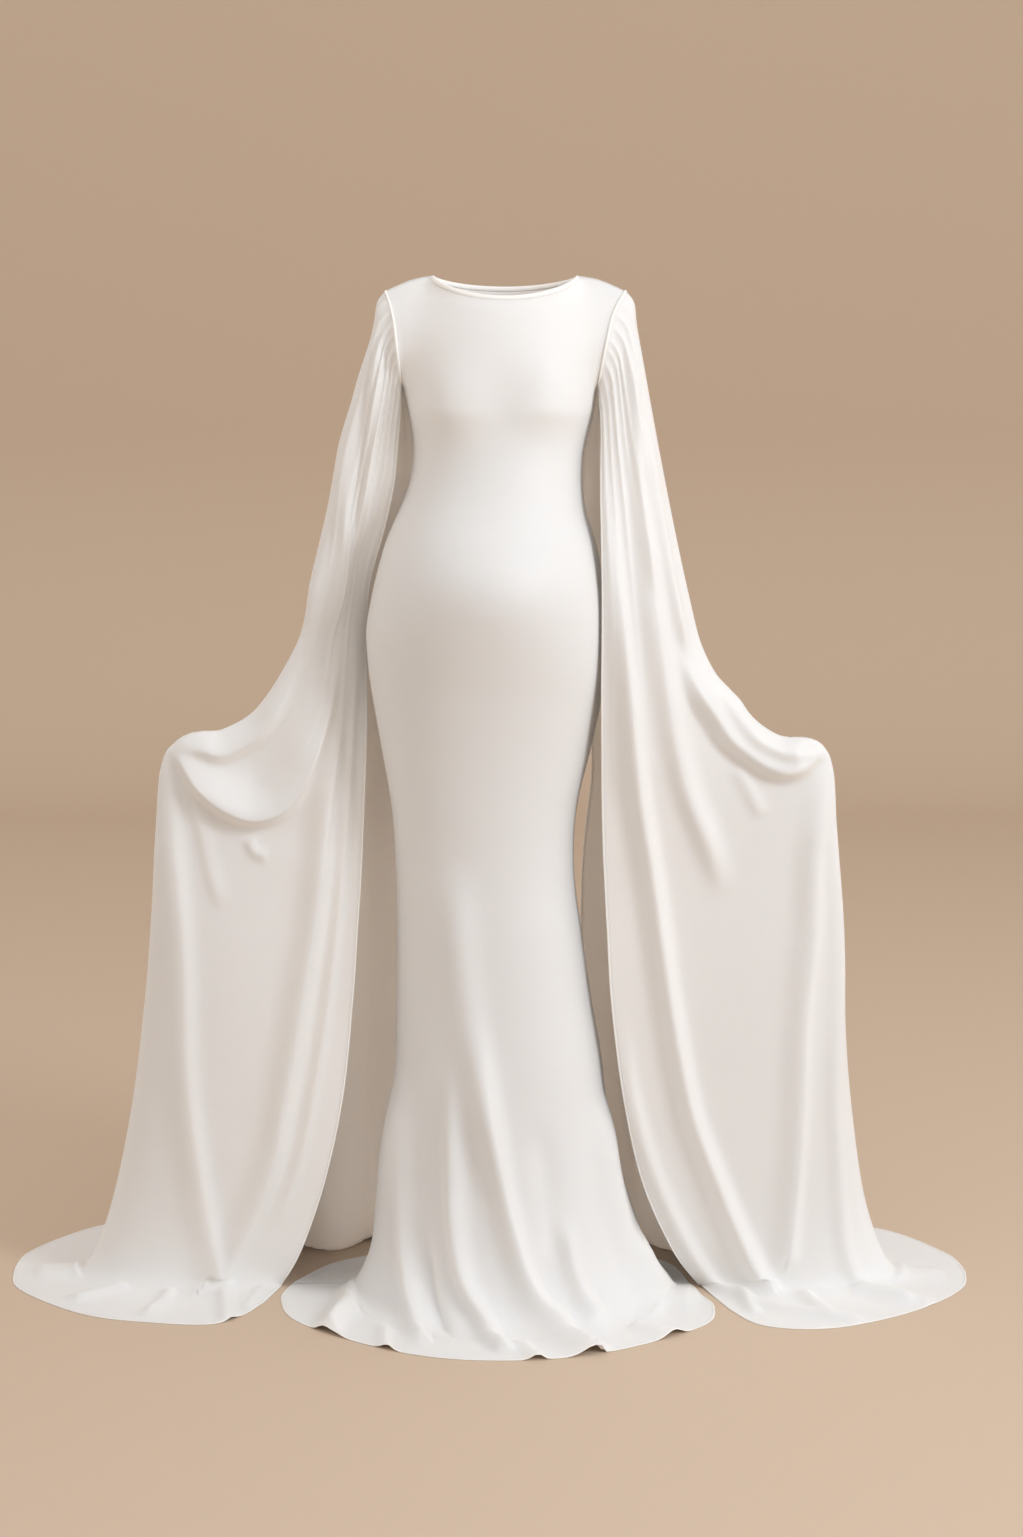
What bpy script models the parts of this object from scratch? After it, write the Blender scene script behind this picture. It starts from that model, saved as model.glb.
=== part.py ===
"""Maternity gown of stretch jersey: front, back, two floor-length cape sleeves and a neck binding.

The gown hangs as worn, with nobody in it. X runs to the viewer's right, -Y is the front and +Z is up.
The origin is midway between the two neck points, where the shoulders hold the gown, and the hem and
the sleeves lie on the floor 1.5 m below. A drop is a distance down from the origin, and a run is the
drop carried on along the cloth where it lies on the floor.
"""
import math
from collections import namedtuple

import bpy
import numpy as np

# Driving sizes, in metres.
FLOOR_DROP = 1.500
WALL = 0.0016
SEAM_GAP = 0.0003
BINDING_WIDTH = 0.007
BINDING_WALL = 0.0021
NECK_HALF_WIDTH = 0.104
NECK_POINT_Y = 0.008
NECK_POINT_DROP = 0.005
NECK_FRONT_REACH = 0.070
NECK_FRONT_DROP = 0.034
NECK_BACK_REACH = 0.060
NECK_BACK_DROP = 0.020
NECK_FULLNESS = 0.9
NECK_DIP = 1.3

# Columns and rows of each piece's grid.
FRONT_COLUMNS = 24
BACK_COLUMNS = 20
SHOULDER_COLUMNS = 4
ARMHOLE_ROWS = 12
UNDERARM_ROWS = 1
SLEEVE_HALF_COLUMNS = ARMHOLE_ROWS - UNDERARM_ROWS
POOL_ROWS = 3
SLEEVE_ROWS = 28

# Sides: the wearer's right is at -X and the left at +X.
RIGHT = -1
LEFT = 1

# Body sections under the arms, top to bottom. Each is a rounded loop about its own centre.
Section = namedtuple("Section", "drop centre half_width front back")
BODY = [
    Section(0.167, -0.008, 0.139, 0.118, 0.098),
    Section(0.210, -0.006, 0.131, 0.122, 0.100),
    Section(0.253, -0.010, 0.123, 0.115, 0.096),
    Section(0.296, -0.013, 0.124, 0.125, 0.090),
    Section(0.339, -0.019, 0.135, 0.150, 0.086),
    Section(0.382, -0.021, 0.151, 0.180, 0.088),
    Section(0.426, -0.023, 0.162, 0.202, 0.096),
    Section(0.469, -0.025, 0.170, 0.208, 0.108),
    Section(0.513, -0.027, 0.175, 0.196, 0.122),
    Section(0.557, -0.026, 0.174, 0.172, 0.132),
    Section(0.601, -0.026, 0.169, 0.150, 0.136),
    Section(0.690, -0.028, 0.152, 0.130, 0.128),
    Section(0.779, -0.031, 0.135, 0.124, 0.116),
    Section(0.868, -0.030, 0.131, 0.122, 0.110),
    Section(0.958, -0.024, 0.136, 0.124, 0.110),
    Section(1.049, -0.018, 0.143, 0.128, 0.112),
    Section(1.140, -0.011, 0.152, 0.134, 0.116),
    Section(1.232, -0.007, 0.160, 0.142, 0.122),
    Section(1.324, -0.001, 0.174, 0.155, 0.130),
    Section(1.417, 0.008, 0.195, 0.180, 0.142),
    Section(1.464, 0.013, 0.214, 0.205, 0.150),
    Section(1.489, 0.012, 0.230, 0.232, 0.156),
    Section(1.4984, 0.010, 0.246, 0.262, 0.166),
]
SECTION_ROUNDNESS = 2.1
CHEST_ROUNDNESS = 1.6
SIDE_BEND_FADE = 3

# The hem on the floor, as its reach from the origin at each bearing. 0 is +X and 90 is the back.
Reach = namedtuple("Reach", "bearing reach")
FRONT_HEM = [
    Reach(180, 0.318), Reach(193, 0.340), Reach(212, 0.346), Reach(245, 0.336), Reach(270, 0.336),
    Reach(295, 0.334), Reach(325, 0.343), Reach(340, 0.326), Reach(350, 0.292), Reach(360, 0.275),
]
BACK_HEM = [
    Reach(180, 0.318), Reach(162, 0.282), Reach(145, 0.244), Reach(125, 0.242), Reach(108, 0.278),
    Reach(90, 0.292), Reach(72, 0.278), Reach(55, 0.242), Reach(35, 0.246), Reach(18, 0.268),
    Reach(0, 0.275),
]

# Armhole seams from the shoulder tip to the underarm. Depth is to the front, and the back mirrors it.
ArmholePoint = namedtuple("ArmholePoint", "out depth drop")
ARMHOLE = {
    RIGHT: [
        ArmholePoint(0.171, 0.000, 0.027), ArmholePoint(0.160, 0.030, 0.062),
        ArmholePoint(0.153, 0.048, 0.110), ArmholePoint(0.149, 0.034, 0.150),
        ArmholePoint(0.147, 0.000, 0.167),
    ],
    LEFT: [
        ArmholePoint(0.172, 0.000, 0.027), ArmholePoint(0.154, 0.030, 0.060),
        ArmholePoint(0.142, 0.048, 0.108), ArmholePoint(0.134, 0.034, 0.150),
        ArmholePoint(0.131, 0.000, 0.167),
    ],
}

# Soft forms shaped into the front by its cut: a raised round of cloth at each place.
Swell = namedtuple("Swell", "x drop width rise height")
BUST = [Swell(-0.076, 0.175, 0.052, 0.050, 0.020), Swell(0.062, 0.175, 0.052, 0.050, 0.020)]
CHEST = [Swell(-0.006, 0.080, 0.110, 0.060, 0.006)]

# A sleeve's levels, top to bottom. The outer line runs over the shoulder, down the arm's place to the held
# corner and on to the floor. The two free edges hang from the underarm. Out is the distance to the side.
Level = namedtuple("Level", (
    "out", "y", "drop", "front_out", "front_y", "front_drop", "back_out", "back_y", "back_drop",
    "front_full", "back_full", "square", "sag"))
SLEEVE = {
    RIGHT: [
        Level(0.171, 0.005, 0.027, 0.149, -0.012, 0.168, 0.149, 0.016, 0.168, -0.045, 0.050, 2.0, 0.0),
        Level(0.184, 0.007, 0.044, 0.150, -0.018, 0.194, 0.141, 0.044, 0.194, -0.050, 0.056, 2.0, 0.0),
        Level(0.190, 0.008, 0.082, 0.152, -0.024, 0.220, 0.132, 0.072, 0.220, -0.055, 0.062, 2.0, 0.0),
        Level(0.209, 0.010, 0.166, 0.160, -0.026, 0.300, 0.114, 0.107, 0.300, -0.055, 0.085, 2.0, 0.0),
        Level(0.229, 0.010, 0.258, 0.176, -0.010, 0.370, 0.106, 0.103, 0.370, -0.055, 0.092, 2.0, 0.0),
        Level(0.252, 0.006, 0.352, 0.197, 0.020, 0.445, 0.106, 0.117, 0.445, -0.050, 0.096, 2.0, 0.0),
        Level(0.280, 0.000, 0.460, 0.204, 0.040, 0.520, 0.114, 0.127, 0.520, -0.050, 0.100, 2.1, 0.0),
        Level(0.312, -0.004, 0.556, 0.204, 0.036, 0.600, 0.128, 0.132, 0.600, -0.050, 0.100, 2.2, 0.010),
        Level(0.352, -0.008, 0.622, 0.204, 0.018, 0.670, 0.142, 0.133, 0.670, -0.050, 0.095, 2.4, 0.028),
        Level(0.415, -0.012, 0.660, 0.206, 0.000, 0.745, 0.156, 0.133, 0.745, -0.050, 0.090, 2.6, 0.044),
        Level(0.482, -0.016, 0.677, 0.209, -0.010, 0.820, 0.157, 0.133, 0.820, -0.048, 0.080, 3.0, 0.048),
        Level(0.502, -0.014, 0.715, 0.212, -0.018, 0.880, 0.158, 0.134, 0.880, -0.048, 0.076, 3.5, 0.030),
        Level(0.506, -0.008, 0.800, 0.217, -0.022, 0.950, 0.159, 0.135, 0.950, -0.050, 0.080, 4.0, 0.014),
        Level(0.518, 0.004, 0.905, 0.225, -0.028, 1.060, 0.161, 0.138, 1.060, -0.055, 0.092, 3.8, 0.005),
        Level(0.537, 0.022, 1.070, 0.240, -0.034, 1.200, 0.164, 0.146, 1.200, -0.060, 0.120, 3.0, 0.0),
        Level(0.562, 0.038, 1.235, 0.268, -0.034, 1.330, 0.168, 0.164, 1.330, -0.064, 0.150, 2.5, 0.0),
        Level(0.598, 0.052, 1.390, 0.305, -0.026, 1.440, 0.172, 0.188, 1.440, -0.066, 0.180, 2.2, 0.0),
        Level(0.645, 0.062, 1.4984, 0.336, -0.012, 1.4984, 0.176, 0.212, 1.4984, -0.068, 0.200, 2.1, 0.0),
    ],
    LEFT: [
        Level(0.172, 0.005, 0.027, 0.135, -0.014, 0.170, 0.134, 0.016, 0.168, -0.045, 0.050, 2.0, 0.0),
        Level(0.185, 0.007, 0.044, 0.136, -0.025, 0.195, 0.126, 0.044, 0.194, -0.050, 0.056, 2.0, 0.0),
        Level(0.190, 0.008, 0.080, 0.137, -0.036, 0.220, 0.118, 0.072, 0.220, -0.055, 0.062, 2.0, 0.0),
        Level(0.206, 0.010, 0.166, 0.137, -0.052, 0.300, 0.102, 0.107, 0.300, -0.060, 0.085, 2.0, 0.0),
        Level(0.223, 0.010, 0.256, 0.138, -0.066, 0.370, 0.098, 0.103, 0.370, -0.064, 0.092, 2.0, 0.0),
        Level(0.242, 0.006, 0.350, 0.138, -0.078, 0.445, 0.098, 0.117, 0.445, -0.066, 0.096, 2.0, 0.0),
        Level(0.265, 0.000, 0.455, 0.138, -0.084, 0.520, 0.104, 0.127, 0.520, -0.066, 0.100, 2.1, 0.0),
        Level(0.291, -0.004, 0.553, 0.138, -0.080, 0.600, 0.118, 0.132, 0.600, -0.064, 0.100, 2.2, 0.010),
        Level(0.330, -0.008, 0.632, 0.139, -0.070, 0.670, 0.128, 0.133, 0.670, -0.060, 0.095, 2.4, 0.028),
        Level(0.392, -0.012, 0.672, 0.140, -0.060, 0.745, 0.130, 0.133, 0.745, -0.056, 0.090, 2.6, 0.044),
        Level(0.458, -0.016, 0.680, 0.142, -0.055, 0.820, 0.122, 0.133, 0.820, -0.052, 0.080, 3.0, 0.048),
        Level(0.478, -0.014, 0.715, 0.145, -0.052, 0.880, 0.117, 0.134, 0.880, -0.052, 0.076, 3.5, 0.030),
        Level(0.483, -0.008, 0.800, 0.149, -0.052, 0.950, 0.115, 0.135, 0.950, -0.053, 0.080, 4.0, 0.014),
        Level(0.489, 0.002, 0.905, 0.156, -0.054, 1.060, 0.115, 0.138, 1.060, -0.057, 0.092, 3.8, 0.005),
        Level(0.502, 0.016, 1.070, 0.174, -0.050, 1.200, 0.120, 0.146, 1.200, -0.062, 0.120, 3.4, 0.0),
        Level(0.519, 0.030, 1.235, 0.203, -0.044, 1.330, 0.130, 0.164, 1.330, -0.066, 0.150, 3.0, 0.0),
        Level(0.546, 0.042, 1.390, 0.250, -0.030, 1.440, 0.146, 0.188, 1.440, -0.070, 0.180, 2.6, 0.0),
        Level(0.590, 0.052, 1.4984, 0.292, -0.012, 1.4984, 0.166, 0.212, 1.4984, -0.072, 0.200, 2.4, 0.0),
    ],
}

# The sleeves' hems on the floor, from the front free edge round the outside to the back free edge.
HemPoint = namedtuple("HemPoint", "out y")
SLEEVE_FRONT_HEM = {
    RIGHT: [
        HemPoint(0.357, -0.090), HemPoint(0.385, -0.150), HemPoint(0.428, -0.186), HemPoint(0.514, -0.178),
        HemPoint(0.604, -0.149), HemPoint(0.690, -0.058), HemPoint(0.750, 0.071),
    ],
    LEFT: [
        HemPoint(0.330, -0.122), HemPoint(0.364, -0.184), HemPoint(0.420, -0.206), HemPoint(0.490, -0.196),
        HemPoint(0.575, -0.146), HemPoint(0.655, -0.050), HemPoint(0.700, 0.055),
    ],
}
SLEEVE_BACK_HEM = {
    RIGHT: [
        HemPoint(0.750, 0.071), HemPoint(0.730, 0.215), HemPoint(0.640, 0.290), HemPoint(0.500, 0.325),
        HemPoint(0.350, 0.342), HemPoint(0.230, 0.362), HemPoint(0.160, 0.366),
    ],
    LEFT: [
        HemPoint(0.700, 0.055), HemPoint(0.680, 0.185), HemPoint(0.600, 0.262), HemPoint(0.470, 0.305),
        HemPoint(0.340, 0.330), HemPoint(0.225, 0.352), HemPoint(0.158, 0.358),
    ],
}

# Share of a sleeve's length over which its top eases from the armhole to its own levels.
SLEEVE_HEAD_SHARE = 0.13

# Largest folds, each a soft ridge along a bend through three places on the cloth. X is the gown's own.
# Hem is the share of the height left where the ridge ends. A trough has a negative height.
Fold = namedtuple("Fold", "x_top run_top x_mid run_mid x_end run_end width height hem")
FOLD_STEPS = 32
FOLD_FADE_SHARE = 0.4
FOLD_FREE_COLUMNS = 1.5
SLEEVE_HEAD_ROWS = 3
FRONT_FOLDS = [
    Fold(-0.074, 0.850, -0.060, 1.040, -0.030, 1.260, 0.026, 0.008, 0.0),
    Fold(-0.150, 1.080, -0.148, 1.330, -0.118, 1.620, 0.020, 0.013, 0.8),
    Fold(-0.080, 1.090, -0.074, 1.350, 0.000, 1.640, 0.020, 0.013, 0.8),
    Fold(-0.038, 1.060, 0.010, 1.400, 0.120, 1.640, 0.022, 0.014, 0.8),
    Fold(0.070, 1.300, 0.098, 1.470, 0.145, 1.590, 0.018, 0.010, 0.6),
    Fold(0.130, 1.180, 0.165, 1.420, 0.215, 1.560, 0.018, 0.010, 0.7),
    Fold(-0.020, 1.240, -0.020, 1.420, 0.040, 1.620, 0.020, -0.006, 0.3),
]
BACK_FOLDS = [
    Fold(-0.040, 0.760, -0.058, 1.080, -0.070, 1.600, 0.022, 0.012, 0.8),
    Fold(0.046, 0.800, 0.052, 1.120, 0.064, 1.600, 0.022, 0.012, 0.8),
    Fold(0.000, 0.980, -0.002, 1.260, -0.004, 1.600, 0.020, 0.010, 0.7),
    Fold(-0.105, 1.020, -0.120, 1.280, -0.140, 1.540, 0.020, 0.010, 0.6),
    Fold(0.100, 1.040, 0.118, 1.290, 0.142, 1.540, 0.020, 0.010, 0.6),
]
SLEEVE_FRONT_FOLDS = {
    RIGHT: [
        Fold(-0.480, 0.705, -0.364, 0.790, -0.262, 0.600, 0.020, 0.014, 0.0),
        Fold(-0.480, 0.690, -0.395, 0.705, -0.312, 0.620, 0.014, 0.010, 0.0),
        Fold(-0.214, 0.640, -0.262, 1.130, -0.370, 1.500, 0.022, 0.016, 0.8),
        Fold(-0.500, 0.740, -0.506, 1.100, -0.468, 1.500, 0.018, 0.012, 1.0),
        Fold(-0.410, 0.900, -0.420, 1.200, -0.430, 1.560, 0.024, 0.010, 0.8),
        Fold(-0.190, 0.120, -0.205, 0.300, -0.240, 0.520, 0.014, 0.008, 0.0),
    ],
    LEFT: [
        Fold(0.455, 0.700, 0.372, 0.720, 0.250, 0.560, 0.016, 0.012, 0.0),
        Fold(0.455, 0.720, 0.370, 0.790, 0.300, 0.690, 0.020, 0.010, 0.0),
        Fold(0.186, 0.600, 0.235, 1.060, 0.335, 1.480, 0.024, 0.016, 0.8),
        Fold(0.462, 0.740, 0.436, 1.080, 0.415, 1.500, 0.020, 0.014, 0.8),
        Fold(0.330, 0.980, 0.350, 1.230, 0.400, 1.560, 0.022, 0.010, 0.8),
        Fold(0.484, 0.960, 0.478, 1.220, 0.505, 1.520, 0.018, 0.010, 0.8),
        Fold(0.150, 0.200, 0.172, 0.420, 0.190, 0.680, 0.016, 0.009, 0.0),
    ],
}
SLEEVE_BACK_FOLDS = {
    RIGHT: [
        Fold(-0.470, 0.705, -0.350, 0.800, -0.220, 0.560, 0.022, 0.014, 0.0),
        Fold(-0.268, 0.760, -0.275, 1.180, -0.272, 1.540, 0.055, -0.050, 0.9),
        Fold(-0.200, 0.500, -0.205, 1.000, -0.215, 1.560, 0.020, 0.014, 0.8),
        Fold(-0.360, 0.900, -0.366, 1.220, -0.372, 1.600, 0.024, 0.016, 0.8),
        Fold(-0.470, 0.900, -0.490, 1.220, -0.520, 1.600, 0.024, 0.014, 0.8),
    ],
    LEFT: [
        Fold(0.450, 0.705, 0.340, 0.790, 0.215, 0.560, 0.022, 0.014, 0.0),
        Fold(0.262, 0.760, 0.268, 1.180, 0.266, 1.540, 0.055, -0.050, 0.9),
        Fold(0.195, 0.520, 0.200, 1.020, 0.210, 1.560, 0.020, 0.014, 0.8),
        Fold(0.345, 0.900, 0.352, 1.220, 0.360, 1.600, 0.024, 0.016, 0.8),
        Fold(0.440, 0.900, 0.455, 1.220, 0.480, 1.600, 0.024, 0.014, 0.8),
    ],
}

JERSEY = (0.86, 0.84, 0.80, 1.0)
JERSEY_ROUGHNESS = 0.55
CREASE_ANGLE_DEG = 50


def clear_scene():
    for item in list(bpy.data.objects):
        bpy.data.objects.remove(item, do_unlink=True)


def unit(vectors):
    """Scale each vector of an array to length one."""
    lengths = np.linalg.norm(vectors, axis=-1, keepdims=True)
    return vectors / np.maximum(lengths, 1e-12)


def through(values, places):
    """Read a smooth curve that passes through each row of values at 0, 1, 2 and so on."""
    values = np.asarray(values, float)
    places = np.asarray(places, float)
    last = len(values) - 1
    index = np.clip(np.floor(places).astype(int), 0, last - 1)
    part = (places - index)[:, None]
    before = values[np.maximum(index - 1, 0)]
    start = values[index]
    end = values[index + 1]
    after = values[np.minimum(index + 2, last)]
    slope_start = (end - before) / 2
    slope_end = (after - start) / 2
    cube = part ** 3
    square = part ** 2
    return (start * (2 * cube - 3 * square + 1) + slope_start * (cube - 2 * square + part)
            + end * (3 * square - 2 * cube) + slope_end * (cube - square))


def even_steps(points, count):
    """Divide a line of points into equal lengths, with count + 1 points."""
    points = np.asarray(points, float)
    lengths = np.linalg.norm(np.diff(points, axis=0), axis=1)
    run = np.concatenate([[0.0], np.cumsum(lengths)])
    wanted = np.linspace(0.0, run[-1], count + 1)
    return np.stack([np.interp(wanted, run, points[:, axis]) for axis in range(3)], axis=1)


def smooth_line(control, count, steps=12):
    """A smooth line through the control points, divided into count equal lengths."""
    places = np.linspace(0, len(control) - 1, (len(control) - 1) * steps + 1)
    return even_steps(through(control, places), count)


def fold_lift(x, run, folds):
    """How far the folds raise the cloth at each place, given its x and its run down the cloth."""
    lift = np.zeros_like(x)
    share = np.linspace(0.0, 1.0, FOLD_STEPS + 1)
    for fold in folds:
        top = np.array([fold.x_top, fold.run_top])
        middle = np.array([fold.x_mid, fold.run_mid])
        end = np.array([fold.x_end, fold.run_end])
        bend = 2 * middle - (top + end) / 2
        path = (np.outer((1 - share) ** 2, top) + np.outer(2 * share * (1 - share), bend)
                + np.outer(share ** 2, end))
        away = np.hypot(x[..., None] - path[:, 0], run[..., None] - path[:, 1])
        nearest = away.argmin(axis=-1)
        at = share[nearest]
        fade = np.minimum(1.0, at / FOLD_FADE_SHARE)
        fade *= np.minimum(1.0, fold.hem + (1 - at) / FOLD_FADE_SHARE)
        lift += fold.height * fade * np.exp(-(away.min(axis=-1) / fold.width) ** 2)
    return lift


def swell_lift(x, drop, swells):
    """How far the soft forms raise the cloth at each place."""
    lift = np.zeros_like(x)
    for swell in swells:
        lift += swell.height * np.exp(-((x - swell.x) / swell.width) ** 2
                                      - ((drop - swell.drop) / swell.rise) ** 2)
    return lift


def grid_normals(grid, facing):
    """Outward directions of a grid of points, from the lie of its rows and columns."""
    along = np.gradient(grid, axis=1)
    down = np.gradient(grid, axis=0)
    return facing * unit(np.cross(along, down))


def half_section(section, toward, columns):
    """One half of a body section, from the right side seam to the left one, level by level."""
    angles = np.linspace(0.0, math.pi, 97)
    power = 2.0 / SECTION_ROUNDNESS
    depth = section.front if toward < 0 else section.back
    across = np.sign(np.cos(angles)) * np.abs(np.cos(angles)) ** power
    outline = np.stack([
        section.centre - section.half_width * across,
        toward * depth * np.abs(np.sin(angles)) ** power,
        np.full_like(angles, -section.drop),
    ], axis=1)
    return even_steps(outline, columns)


def armhole_line(side, toward):
    """The armhole seam from the underarm up to the shoulder tip, on the front or the back."""
    points = [(side * point.out, toward * point.depth, -point.drop) for point in ARMHOLE[side]]
    return smooth_line(points, ARMHOLE_ROWS)[::-1]


def neckline(toward, columns):
    """The panel's neck edge from the right neck point to the left one."""
    reach = NECK_FRONT_REACH if toward < 0 else NECK_BACK_REACH
    dip = (NECK_FRONT_DROP if toward < 0 else NECK_BACK_DROP) - NECK_POINT_DROP
    angles = np.linspace(0.0, math.pi, 65)
    line = np.stack([
        -NECK_HALF_WIDTH * np.cos(angles),
        NECK_POINT_Y + toward * reach * np.sin(angles) ** NECK_FULLNESS,
        -NECK_POINT_DROP - dip * np.sin(angles) ** NECK_DIP,
    ], axis=1)
    return even_steps(line, columns)


def top_edge(toward, columns):
    """Shoulder seam, neck edge and shoulder seam, from the right shoulder tip to the left one."""
    neck = neckline(toward, columns - 2 * SHOULDER_COLUMNS)
    right_tip = armhole_line(RIGHT, toward)[-1]
    left_tip = armhole_line(LEFT, toward)[-1]
    right_seam = even_steps([right_tip, neck[0]], SHOULDER_COLUMNS)
    left_seam = even_steps([neck[-1], left_tip], SHOULDER_COLUMNS)
    return np.concatenate([right_seam[:-1], neck, left_seam[1:]])


def upper_panel(toward, columns):
    """The panel above the underarms, as rows from the shoulder down, blended from its four edges."""
    bottom = half_section(BODY[0], toward, columns)
    top = top_edge(toward, columns)
    right = armhole_line(RIGHT, toward)
    left = armhole_line(LEFT, toward)
    up = np.linspace(0.0, 1.0, ARMHOLE_ROWS + 1)[:, None, None]
    across = np.linspace(0.0, 1.0, columns + 1)[None, :, None]
    ease = np.concatenate([up ** CHEST_ROUNDNESS, up ** CHEST_ROUNDNESS, up], axis=2)
    ruled = bottom[None] * (1 - ease) + top[None] * ease
    right_bend = right[:, None] - ruled[:, :1]
    left_bend = left[:, None] - ruled[:, -1:]
    bends = right_bend * (1 - across) ** SIDE_BEND_FADE + left_bend * across ** SIDE_BEND_FADE
    return (ruled + bends)[::-1]


def hem_line(reaches, columns):
    """The hem on the floor through its reaches, from the right side seam to the left one."""
    height = WALL - FLOOR_DROP
    control = [(point.reach * math.cos(math.radians(point.bearing)),
                point.reach * math.sin(math.radians(point.bearing)), height) for point in reaches]
    return smooth_line(control, columns)


def lay_down(contact, hem):
    """Rows of cloth on the floor, from where it comes down to its hem."""
    shares = np.linspace(0.0, 1.0, POOL_ROWS + 1)[1:, None, None]
    return contact[None] + (hem - contact)[None] * shares


def edge_weight(columns):
    """A weight for folds that leaves the two side edges of a panel where they are."""
    place = np.linspace(0.0, 1.0, columns + 1)
    return np.clip(np.minimum(place, 1 - place) * columns / FOLD_FREE_COLUMNS, 0.0, 1.0)


def body_panel(toward, columns, hem_reaches, folds, swells):
    """The outer face of the front or the back, as rows of points from shoulder to hem."""
    upper = upper_panel(toward, columns)
    sections = np.stack([half_section(section, toward, columns) for section in BODY])
    pool = lay_down(sections[-1], hem_line(hem_reaches, columns))
    grid = np.concatenate([upper, sections[1:], pool])
    run = -grid[..., 2].copy()
    first_pool = len(grid) - POOL_ROWS
    run[first_pool:] += np.linalg.norm(grid[first_pool:] - grid[first_pool - 1], axis=-1)
    lift = fold_lift(grid[..., 0], run, folds) + swell_lift(grid[..., 0], run, swells)
    lift *= edge_weight(columns)
    lift[:1] = 0.0
    lift[first_pool:] = np.maximum(lift[first_pool:], 0.0)
    return keep_above_floor(grid + grid_normals(grid, toward) * lift[..., None])


def keep_above_floor(grid):
    """Hold the outer face at least a wall above the floor."""
    grid[..., 2] = np.maximum(grid[..., 2], WALL - FLOOR_DROP)
    return grid


def sleeve_half(side, toward, rows, columns):
    """One half of a sleeve above the floor, as rows from its free edge to its outer line."""
    places = np.linspace(0, len(SLEEVE[side]) - 1, rows + 1)
    levels = [Level(*row) for row in through(SLEEVE[side], places)]
    angles = np.linspace(0.0, math.pi / 2, 49)
    grid = []
    for level in levels:
        power = 2.0 / level.square
        if toward < 0:
            edge = (level.front_out, level.front_y, level.front_drop)
            full = level.front_full
        else:
            edge = (level.back_out, level.back_y, level.back_drop)
            full = level.back_full
        share = np.sin(angles) ** power
        fullness = np.cos(angles) ** power
        plane = edge[1] * (1 - share) + full * share
        line = np.stack([
            side * (edge[0] + (level.out - edge[0]) * share),
            level.y + (plane - level.y) * fullness,
            -(edge[2] + (level.drop - edge[2]) * share + level.sag * 4 * share * (1 - share)),
        ], axis=1)
        grid.append(even_steps(line, columns))
    return np.stack(grid)


def sleeve_surface(side, armhole):
    """The outer face of a sleeve, as rows from the armhole to the hem, front edge to back edge."""
    front = sleeve_half(side, -1, SLEEVE_ROWS, SLEEVE_HALF_COLUMNS)
    back = sleeve_half(side, 1, SLEEVE_ROWS, SLEEVE_HALF_COLUMNS)[:, ::-1]
    grid = np.concatenate([front, back[:, 1:]], axis=1)
    easing = np.clip(1 - np.linspace(0.0, 1.0, SLEEVE_ROWS + 1) / SLEEVE_HEAD_SHARE, 0.0, 1.0) ** 2
    grid = grid + (armhole - grid[0])[None] * easing[:, None, None]
    height = WALL - FLOOR_DROP
    front_hem = [(side * point.out, point.y, height) for point in SLEEVE_FRONT_HEM[side]]
    back_hem = [(side * point.out, point.y, height) for point in SLEEVE_BACK_HEM[side]]
    hem = np.concatenate([smooth_line(front_hem, SLEEVE_HALF_COLUMNS),
                          smooth_line(back_hem, SLEEVE_HALF_COLUMNS)[1:]])
    pool = lay_down(grid[-1], hem)
    first_pool = len(grid)
    grid = np.concatenate([grid, pool])
    run = -grid[..., 2].copy()
    run[first_pool:] += np.linalg.norm(grid[first_pool:] - grid[first_pool - 1], axis=-1)
    middle = SLEEVE_HALF_COLUMNS
    lift = np.concatenate([
        fold_lift(grid[:, :middle, 0], run[:, :middle], SLEEVE_FRONT_FOLDS[side]),
        fold_lift(grid[:, middle:, 0], run[:, middle:], SLEEVE_BACK_FOLDS[side]),
    ], axis=1)
    lift[:SLEEVE_HEAD_ROWS] = 0.0
    lift[first_pool:] = np.maximum(lift[first_pool:], 0.0)
    return keep_above_floor(grid + grid_normals(grid, -side) * lift[..., None])


def pull_back(grid, rows, column, next_column):
    """Move part of a side edge half a seam gap into its own panel."""
    inward = unit(grid[rows, next_column] - grid[rows, column])
    grid[rows, column] += inward * SEAM_GAP / 2


def share_normals(first, first_index, second, second_index):
    """Give two edges that meet at a seam the same outward directions."""
    shared = unit(first[first_index] + second[second_index])
    first[first_index] = shared
    second[second_index] = shared


def add_solid(name, vertices, faces):
    """Make one closed body with its own jersey material."""
    mesh = bpy.data.meshes.new(name)
    mesh.from_pydata([tuple(point) for point in vertices], [], faces)
    mesh.update()
    mesh.shade_smooth()
    mesh.set_sharp_from_angle(angle=math.radians(CREASE_ANGLE_DEG))
    material = bpy.data.materials.new(name + "_jersey")
    material.use_nodes = True
    shader = material.node_tree.nodes["Principled BSDF"]
    shader.inputs["Base Color"].default_value = JERSEY
    shader.inputs["Roughness"].default_value = JERSEY_ROUGHNESS
    shader.inputs["Metallic"].default_value = 0.0
    mesh.materials.append(material)
    solid = bpy.data.objects.new(name, mesh)
    bpy.context.scene.collection.objects.link(solid)
    return solid


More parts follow.
